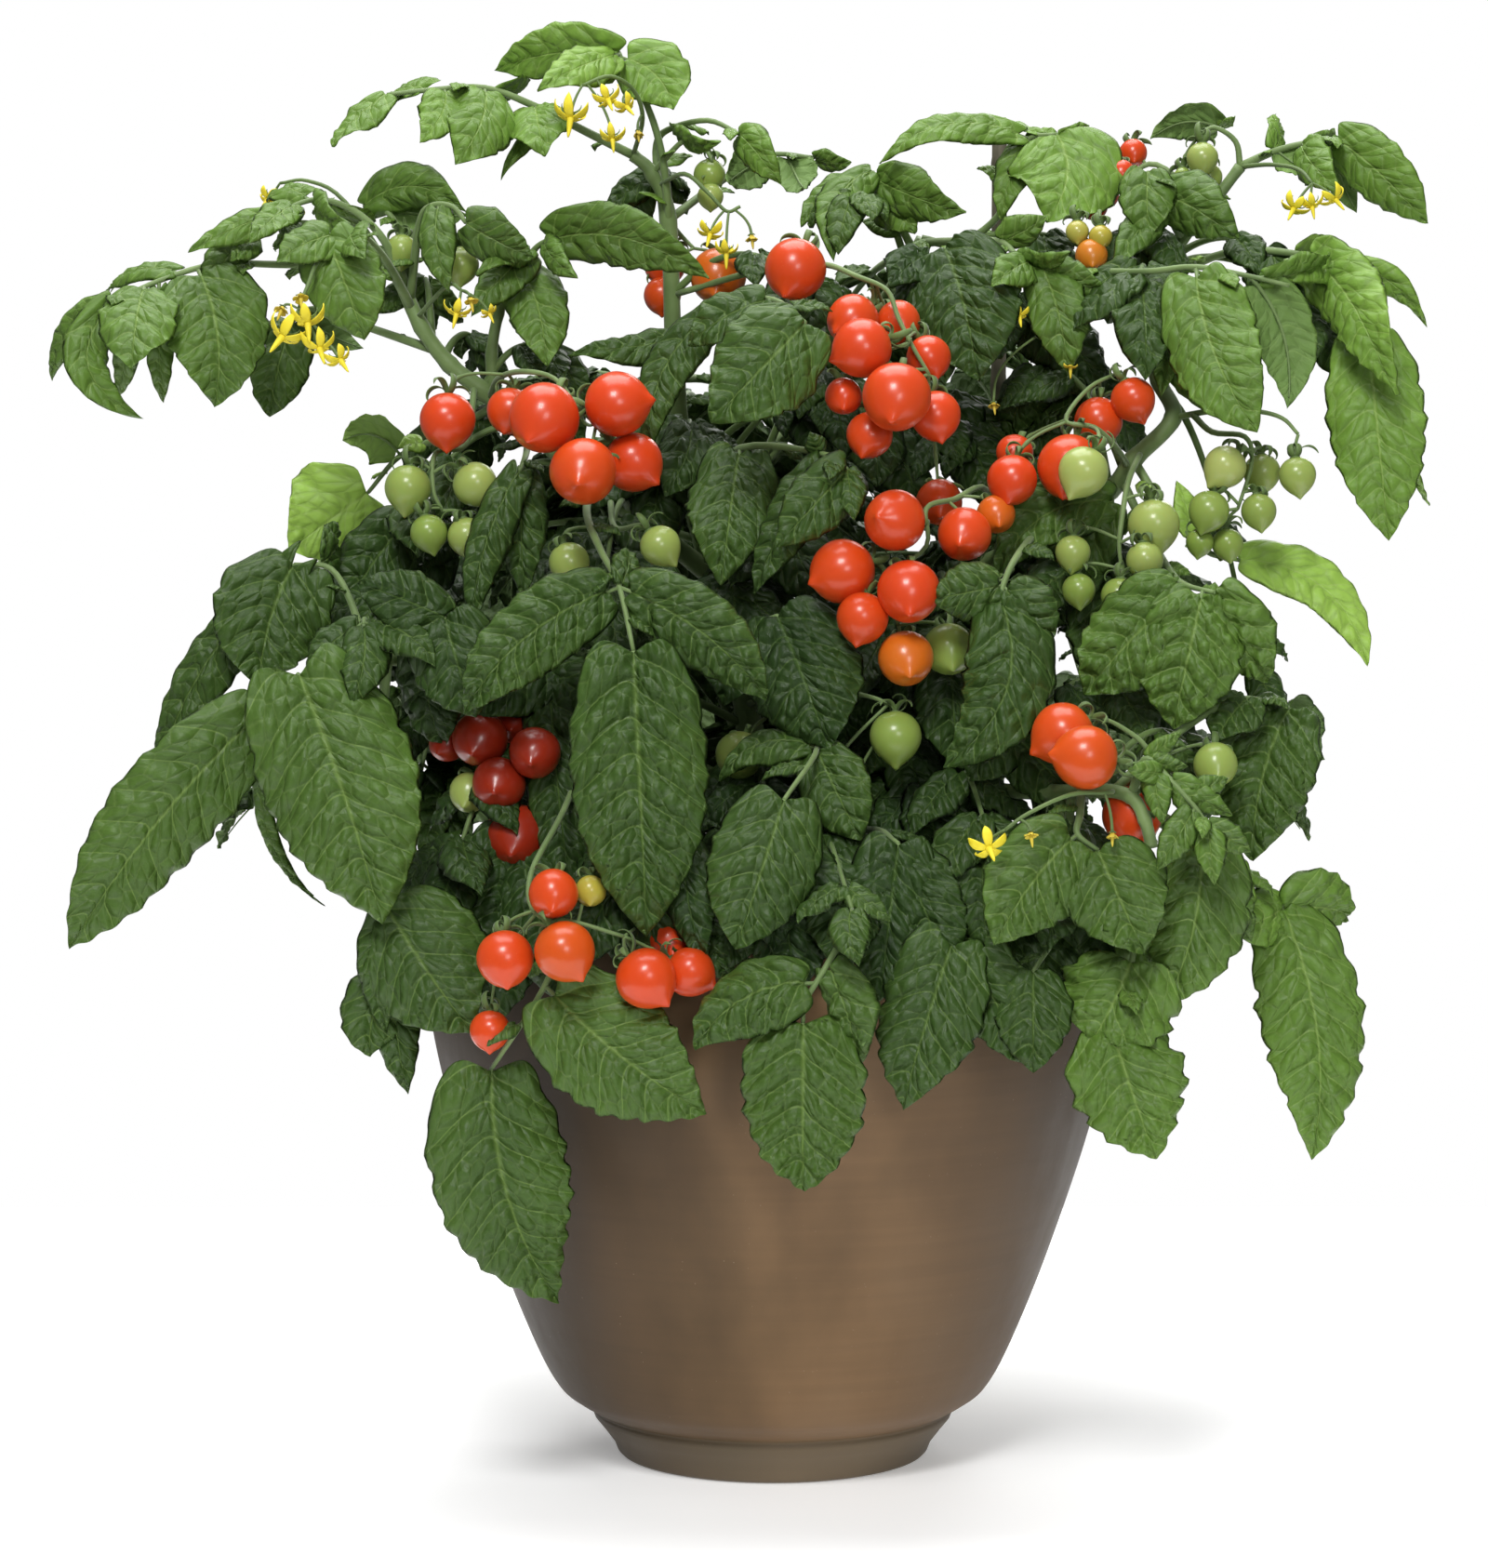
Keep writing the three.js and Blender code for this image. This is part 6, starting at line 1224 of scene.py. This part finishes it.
def shade_leaf(name, stem, number, across, up, depth, size, tone):
    """A leaf of the inside: its stalk arches to the place, and its leaflets hang spread from it. Its tone
    paints the shade it lies in, and its stalks take the darker calyx paint as painted shade.
    """
    rng = np.random.default_rng(zlib.crc32(name.encode()))
    # Painted shade: the stalk and the leaflets' middle veins take the darker calyx paint.
    piece = Piece("tomato_" + name, "leaf", [LEAF, CALYX])
    start, end = along(stem_places[stem], number)[0], seen([across, up, depth])
    gap = np.linalg.norm(end - start)
    arch = (start + end) / 2 + [0, 0, 0.3 * gap + 8]
    places = bezier(start, arch, end, np.linspace(0, 1, 5))
    piece.add(tube(places, RACHIS_RADIUS + 0.3, RACHIS_RADIUS - 0.6), paint=1, tone=0.5)
    outward = unit((end - start) * [1, 1, 0] + [0, -1.0, 0])
    sideways = np.cross(outward, [0.0, 0.0, 1.0])
    looks = [tone, 0.7, 0.1, 1.3]
    for at, hand, share in ((4.0, 0, 1.0), (3.7, 1, 0.85), (3.7, -1, 0.85), (2.6, 1, 0.7), (2.6, -1, 0.7)):
        base = along(places, at)[0]
        way = unit(0.8 * hand * sideways + 0.45 * outward + [0, 0, -0.65] + rng.normal(0, 0.12, 3))
        length = share * size * rng.uniform(0.9, 1.1)
        face = 0.7 * unit(EYE - base) + [0, 0, 0.6] + 0.3 * hand * sideways + rng.normal(0, 0.15, 3)
        leaflet(piece, base, base + length * way, length * rng.uniform(0.52, 0.62), face,
                rng.uniform(0.03, 0.12), rng.uniform(-0.08, 0.08), looks, rng)
    piece.finish()


# ------------------------------------------------------------------------------ fruits
def frame_about(axis):
    """Two directions square to an axis and to each other."""
    helper = np.array([0.0, 0.0, 1.0]) if abs(axis[2]) < 0.9 else np.array([1.0, 0.0, 0.0])
    first = unit(np.cross(axis, helper))
    return first, np.cross(axis, first)


def tomato(piece, centre, radius, to_tip, ripe, rng):
    """A ball turned about its axis, dimpled at the shoulder and drawn out to a small point."""
    across, up = frame_about(to_tip)
    fall = np.linspace(0, np.pi, 30)[1:-1]
    out = np.sin(fall) * (1 - 0.04 * np.clip(-np.cos(fall), 0, 1))
    down = -np.cos(fall)
    down = down + 0.10 * np.exp(-(out / 0.30)**2) * (fall < np.pi / 2)
    taper = 0.16 if ripe < 0.3 else 0.07
    point = 0.19 * np.exp(-(out / 0.16)**1.6) + taper * np.exp(-(out / 0.5)**2)
    down = down + point * (fall > np.pi / 2)
    angle = np.arange(32) * 2 * np.pi / 32
    lobes = 1 + 0.012 * np.cos(3 * angle + rng.uniform(0, 6)) * np.sin(fall)[:, None]
    round_axis = np.cos(angle)[:, None] * across + np.sin(angle)[:, None] * up
    rings = centre + radius * ((out[:, None] * lobes)[..., None] * round_axis
                               + down[:, None, None] * to_tip)
    ends = (centre - 0.90 * radius * to_tip, centre + (1.195 + taper) * radius * to_tip)
    shade = ripe - 0.05 * np.exp(-(out / 0.5)**2) * (fall < np.pi / 2) * (ripe > 0.6)
    piece.add(rings, ends=ends, tone=shade[:, None])


def calyx(piece, shoulder, away, radius, rng):
    """Five narrow sepals that rise off the shoulder, arch out and roll back at their ends."""
    across, up = frame_about(away)
    s = np.linspace(0, 1, 16)
    for k in range(5):
        angle = 2 * np.pi * (k + rng.uniform(-0.15, 0.15)) / 5
        outward = math.cos(angle) * across + math.sin(angle) * up
        length = (0.78 * radius + 6.0) * rng.uniform(0.8, 1.2)
        hand = 1 if rng.random() < 0.35 else -1
        turn = (0.3 if hand > 0 else 1.1) + hand * rng.uniform(2.2, 4.4) * s**1.4
        steps = length / len(s) * np.stack([np.cos(turn), np.sin(turn)], -1)
        reach = np.cumsum(steps, axis=0)
        line = shoulder + reach[:, :1] * outward + (0.4 + reach[:, 1:]) * away
        width = 1.6 * np.sin(np.pi * np.clip(0.2 + 0.8 * s, 0, 1))**0.8 + 0.08
        bar = unit(np.cross(outward, away))
        piece.add(sweep(line, 0.28, width, 6, face=bar), paint=1)
    piece.add(sweep(shoulder + np.array([[0.0], [0.6], [1.3]]) * away, np.array([1.9, 2.4, 1.3]),
                    np.array([1.9, 2.4, 1.3]), 8, face=across), paint=1)


def pedicel(piece, start, end, away, radius):
    """A fruit's own stalk, from the truss to the calyx, with its knuckle."""
    gap = np.linalg.norm(end - start)
    bent = end + away * 0.45 * gap
    line = bezier(start, bent, end, np.linspace(0, 1, 4))
    piece.add(tube(line, radius, radius * 0.9, sides=8, per_span=4, knuckle=0.55))


def nearest(lines, point):
    """The place on the stalks that is nearest to a point, clear of their first stretch."""
    fine = np.vstack([along(line, np.linspace(0.7, len(line) - 1, 40)) for line in lines])
    return fine[np.argmin(np.linalg.norm(fine - point, axis=1))]


def truss_lines(row):
    """The places of a truss's stalk from its stem on, and of its fork where it has one."""
    parent, number = row["on"]
    lines = [np.vstack([along(stem_places[parent], number), seen(row["stalk"])])]
    if "fork" in row:
        lines.append(np.vstack([along(lines[0], row["fork"]["at"]), seen(row["fork"]["stalk"])]))
    return lines


def truss(name, row, replaces=None):
    """Stalks with pedicels and calyxes in one piece, and the fruits in another."""
    rng = np.random.default_rng(zlib.crc32(name.encode()))
    stalks = Piece("tomato_" + name + "_stalks", "stem", [STALK, CALYX])
    slot = "green_fruit" if "green" in name or "pale" in name or name == "truss_top" else "ripe_fruit"
    fruits = Piece("tomato_" + name + "_fruits", slot, [SKIN])
    lines = truss_lines(row)
    for line in lines:
        stalks.add(tube(line, TRUSS_RADIUS + 0.3, TRUSS_RADIUS - 0.4))
    for across, up, depth, seen_radius, tip_across, tip_up, ripe in row["fruits"]:
        centre, radius = seen([across, up, depth]), seen_radius * shrink(depth)
        outward = math.sqrt(max(0.02, 1 - tip_across**2 - tip_up**2))
        to_tip = unit(np.array([tip_across, -outward, tip_up]))
        tomato(fruits, centre, radius, to_tip, ripe, rng)
        shoulder = centre - 0.90 * radius * to_tip
        calyx(stalks, shoulder, -to_tip, radius, rng)
        pedicel(stalks, nearest(lines, shoulder), shoulder - 0.8 * to_tip, -to_tip, PEDICEL_RADIUS)
    fruits.finish(replaces=replaces)
    stalks.finish()


# ------------------------------------------------------------------------------ flowers
# A spray: where its stalk leaves a stem, its places, and its flowers: [across, up, depth, petal
# length, the way the cone points across and up, how fresh (1) or withered (0)].
SPRAYS = {
  "spray_top": {"on": ["main_stem", 9],
    "stalk": [[-56, 572, -22], [-60, 584, -30], [-70, 590, -36], [-82, 586, -40]],
    "flowers": [[-87, 572, -46, 9, -0.1, -0.9, 1.0], [-71, 580, -42, 7, 0.3, -0.7, 0.95],
      [-63, 577, -38, 6.5, 0.5, -0.6, 0.9], [-69, 563, -44, 6.5, 0.1, -0.9, 0.95],
      [-58, 566, -30, 5, 0.1, -0.9, 0.2]]},
  "spray_top_low": {"on": ["main_stem", 7.6],
    "stalk": [[-38, 548, -24], [-28, 540, -32], [-20, 532, -34], [-14, 534, -34]],
    "flowers": [[-27, 522, -40, 7, -0.2, -0.8, 0.95], [-20, 514, -42, 7, 0, -1, 0.9],
      [-9, 521, -36, 5.5, 0.1, -1, 0.3]]},
  "spray_left": {"on": ["shoot_left", 5.6],
    "stalk": [[-176, 520, -60], [-194, 512, -92], [-200, 500, -104], [-204, 490, -108]],
    "flowers": [[-211, 478, -114, 9, -0.5, -0.7, 1.0], [-200, 484, -116, 9, 0.1, -0.9, 0.95],
      [-195, 473, -116, 8, 0.3, -0.8, 1.0], [-186, 468, -112, 7, 0.5, -0.7, 0.95],
      [-211, 490, -108, 6, -0.3, -0.8, 0.3], [-203, 495, -112, 6, 0.1, -0.8, 0.4]]},
  "spray_left_high": {"on": ["shoot_left", 5.8],
    "stalk": [[-184, 536, -14], [-200, 545, -10], [-212, 544, -8]],
    "flowers": [[-217, 537, -8, 6.5, -0.4, -0.6, 0.9], [-205, 529, -12, 5.5, 0.2, -0.9, 0.85]]},
  "spray_left_mid": {"on": ["shoot_left", 5.2],
    "stalk": [[-140, 500, -58], [-134, 498, -66]],
    "flowers": [[-136, 488, -70, 7, -0.2, -0.9, 0.95], [-130, 494, -70, 6, 0.2, -0.9, 0.35],
      [-122, 488, -66, 5, 0.4, -0.8, 0.8]]},
  "spray_low_right": {"on": ["shoot_low_right", 6.4],
    "stalk": [[144, 282, -168], [128, 281, -176], [110, 273, -180], [100, 266, -182]],
    "flowers": [[93, 258, -184, 8.5, 0.2, -0.5, 1.0], [111, 264, -184, 5.5, 0.1, -0.9, 0.4],
      [146, 264, -174, 5, 0, -1, 0.3]]},
  "spray_far_right": {"on": ["shoot_right", 12],
    "stalk": [[214, 552, -16], [226, 550, -34], [232, 544, -46]],
    "flowers": [[224, 533, -52, 7, -0.4, -0.7, 1.0], [232, 534, -50, 6, 0.1, -0.9, 1.0],
      [242, 537, -50, 6.5, 0.5, -0.7, 1.0]]},
  "spray_inner": {"on": ["shoot_mid", 3.5],
    "stalk": [[80, 500, -30], [98, 494, -50], [116, 480, -60]],
    "flowers": [[106, 487, -62, 6, 0.1, -0.8, 0.9], [97, 494, -56, 5, -0.2, -0.9, 0.8],
      [128, 465, -66, 5, 0, -1, 0.6], [95, 449, -60, 5, 0.1, -0.9, 0.3]]},
}


def flower(piece, centre, size, axis, fresh, rng):
    """Five pointed petals that fold back from a narrow hanging cone; a withered flower is closed."""
    across, up = frame_about(axis)
    s = np.linspace(0, 1, 9)
    open_out = 0.25 + 0.75 * fresh
    for k in range(5):
        angle = 2 * np.pi * (k + rng.uniform(-0.2, 0.2)) / 5
        outward = math.cos(angle) * across + math.sin(angle) * up
        out = size * (0.12 + 0.72 * open_out * np.sin(1.7 * s) * rng.uniform(0.85, 1.15))
        fold = size * ((1 - open_out) * s - 0.75 * fresh * s**1.8 * rng.uniform(0.7, 1.3))
        line = centre + out[:, None] * outward + fold[:, None] * axis
        width = 0.24 * size * np.sin(np.pi * (0.12 + 0.88 * s))**0.8 + 0.05
        piece.add(sweep(line, width, 0.25, 8, face=unit(axis + 0.4 * outward)), tone=fresh)
        sepal = centre + 0.6 * out[:, None] * outward + (0.5 * fold - 0.25 * size)[:, None] * axis
        piece.add(sweep(sepal, 0.07 * size * (1.2 - s), 0.25, 6, face=unit(axis + 0.2 * across)), paint=1)
    reach = np.linspace(-0.1, 1.0, 9) * size
    swell = 0.17 * size * np.sqrt(np.clip(1 - (reach / (1.05 * size)), 0.01, 1))
    piece.add(sweep(centre + reach[:, None] * axis, swell, swell, 10, face=across), tone=fresh)


def spray(name, row):
    """A stalk with its flowers, each on a thin stalk that bends over to it."""
    rng = np.random.default_rng(zlib.crc32(name.encode()))
    piece = Piece("tomato_" + name, "flower", [PETAL, CALYX])
    lines = truss_lines(row)
    for line in lines:
        piece.add(tube(line, 1.1, 0.7), paint=1)
    for across, up, depth, size, tip_across, tip_up, fresh in row["flowers"]:
        outward = math.sqrt(max(0.05, 1 - tip_across**2 - tip_up**2))
        axis = unit(np.array([tip_across, -outward, tip_up]))
        centre = seen([across, up, depth])
        flower(piece, centre, size, axis, fresh, rng)
        neck = centre - 0.15 * size * axis
        start = nearest(lines, neck)
        bent = neck - 0.5 * np.linalg.norm(neck - start) * axis
        line = bezier(start, bent, neck, np.linspace(0, 1, 4))
        piece.add(tube(line, 0.55, 0.65, sides=6, per_span=4), paint=1)
    piece.finish()


# ------------------------------------------------------------------------------ the whole plant
clay_pot()
potting_soil()
plant_cane()
stems()
for leaf_name, leaf_row in LEAVES.items():
    compound_leaf(leaf_name, leaf_row, replaces=leaf_name)
for leaf_name, leaf_row in SMALL_LEAVES.items():
    compound_leaf(leaf_name, leaf_row)
for leaf_name, leaf_row in BACK_LEAVES.items():
    arching_leaf(leaf_name, *leaf_row, looks=BACK_LOOKS, replaces=leaf_name)
for leaf_name, leaf_row in FAR_LEAVES.items():
    arching_leaf(leaf_name, *leaf_row, looks=FAR_LOOKS)
for leaf_name, leaf_row in INNER_LEAVES.items():
    arching_leaf(leaf_name, *leaf_row, looks=INNER_LOOKS)
for leaf_name, leaf_row in SHADE_LEAVES.items():
    shade_leaf(leaf_name, *leaf_row)
for truss_name, truss_row in TRUSSES.items():
    truss(truss_name, truss_row, replaces=truss_name)
for truss_name, truss_row in SMALL_TRUSSES.items():
    truss(truss_name, truss_row)
for spray_name, spray_row in SPRAYS.items():
    spray(spray_name, spray_row)


# ------------------------------------------------------------------------------ studio
def studio_floor():
    """A plain pale floor that ends where the white surroundings take over."""
    mesh = bpy.data.meshes.new("studio_floor")
    reach = 0.62
    mesh.from_pydata([(-reach, -reach, 0), (reach, -reach, 0), (reach, reach, 0), (-reach, reach, 0)],
                     [], [(0, 1, 2, 3)])
    floor = bpy.data.objects.new("studio_floor", mesh)
    bpy.context.collection.objects.link(floor)
    paint = Paint("white_floor", Roughness=0.9, Specular_IOR_Level=0.1, Emission_Strength=0.24,
                  Emission_Color=(1.0, 1.0, 1.0, 1.0))
    mesh.materials.append(paint.finish(Base_Color=(0.93, 0.93, 0.93)))


# A soft square lamp: its place and aim in metres, its size in metres, its power in watts.
SOFTBOXES = {
  "softbox_left": [(-0.38, -2.1, 2.1), (0.0, 0.0, 0.35), 0.7, 50.0],
  "softbox_right": [(0.5, -2.4, 0.9), (0.0, 0.0, 0.25), 0.6, 12.0],
  "softbox_behind": [(0.7, 2.2, 1.5), (0.0, 0.0, 0.35), 1.0, 16.0],
  "softbox_above": [(-0.1, 0.55, 3.0), (0.0, 0.0, 0.0), 2.4, 98.0],
}


def softbox(name, place, aim, size, power):
    """A soft square light at a place in metres, turned to an aim."""
    light = bpy.data.lights.new(name, "AREA")
    light.shape, light.size, light.energy = "SQUARE", size, power
    lamp = bpy.data.objects.new(name, light)
    bpy.context.collection.objects.link(lamp)
    lamp.location = place
    way = Vector(aim) - lamp.location
    lamp.rotation_euler = way.to_track_quat("-Z", "Y").to_euler()


def camera():
    """The photograph's viewpoint: a long lens, level enough to see a little of the floor."""
    data = bpy.data.cameras.new("viewpoint")
    distance = np.linalg.norm(AIM - EYE)
    data.sensor_width = 36.0
    data.lens = data.sensor_width * distance / HEIGHT_SEEN
    data.clip_end = 60.0
    viewpoint = bpy.data.objects.new("viewpoint", data)
    bpy.context.collection.objects.link(viewpoint)
    viewpoint.location = EYE * MM
    way = Vector((AIM - EYE) * MM)
    viewpoint.rotation_euler = way.to_track_quat("-Z", "Y").to_euler()
    bpy.context.scene.camera = viewpoint


def surroundings():
    """White to look at, and a dim even light on everything else."""
    world = bpy.data.worlds.new("white_studio")
    world.use_nodes = True
    nodes, links = world.node_tree.nodes, world.node_tree.links
    seen_white = nodes["Background"]
    seen_white.inputs["Color"].default_value = (1.0, 1.0, 1.0, 1.0)
    even_light = nodes.new("ShaderNodeBackground")
    even_light.inputs["Strength"].default_value = 0.22
    even_light.inputs["Color"].default_value = (1.0, 1.0, 1.0, 1.0)
    path, mix = nodes.new("ShaderNodeLightPath"), nodes.new("ShaderNodeMixShader")
    links.new(path.outputs["Is Camera Ray"], mix.inputs[0])
    links.new(even_light.outputs[0], mix.inputs[1])
    links.new(seen_white.outputs[0], mix.inputs[2])
    links.new(mix.outputs[0], nodes["World Output"].inputs["Surface"])
    bpy.context.scene.world = world
    bpy.context.scene.view_settings.view_transform = "Standard"


studio_floor()
for softbox_name, softbox_row in SOFTBOXES.items():
    softbox(softbox_name, *softbox_row)
camera()
surroundings()
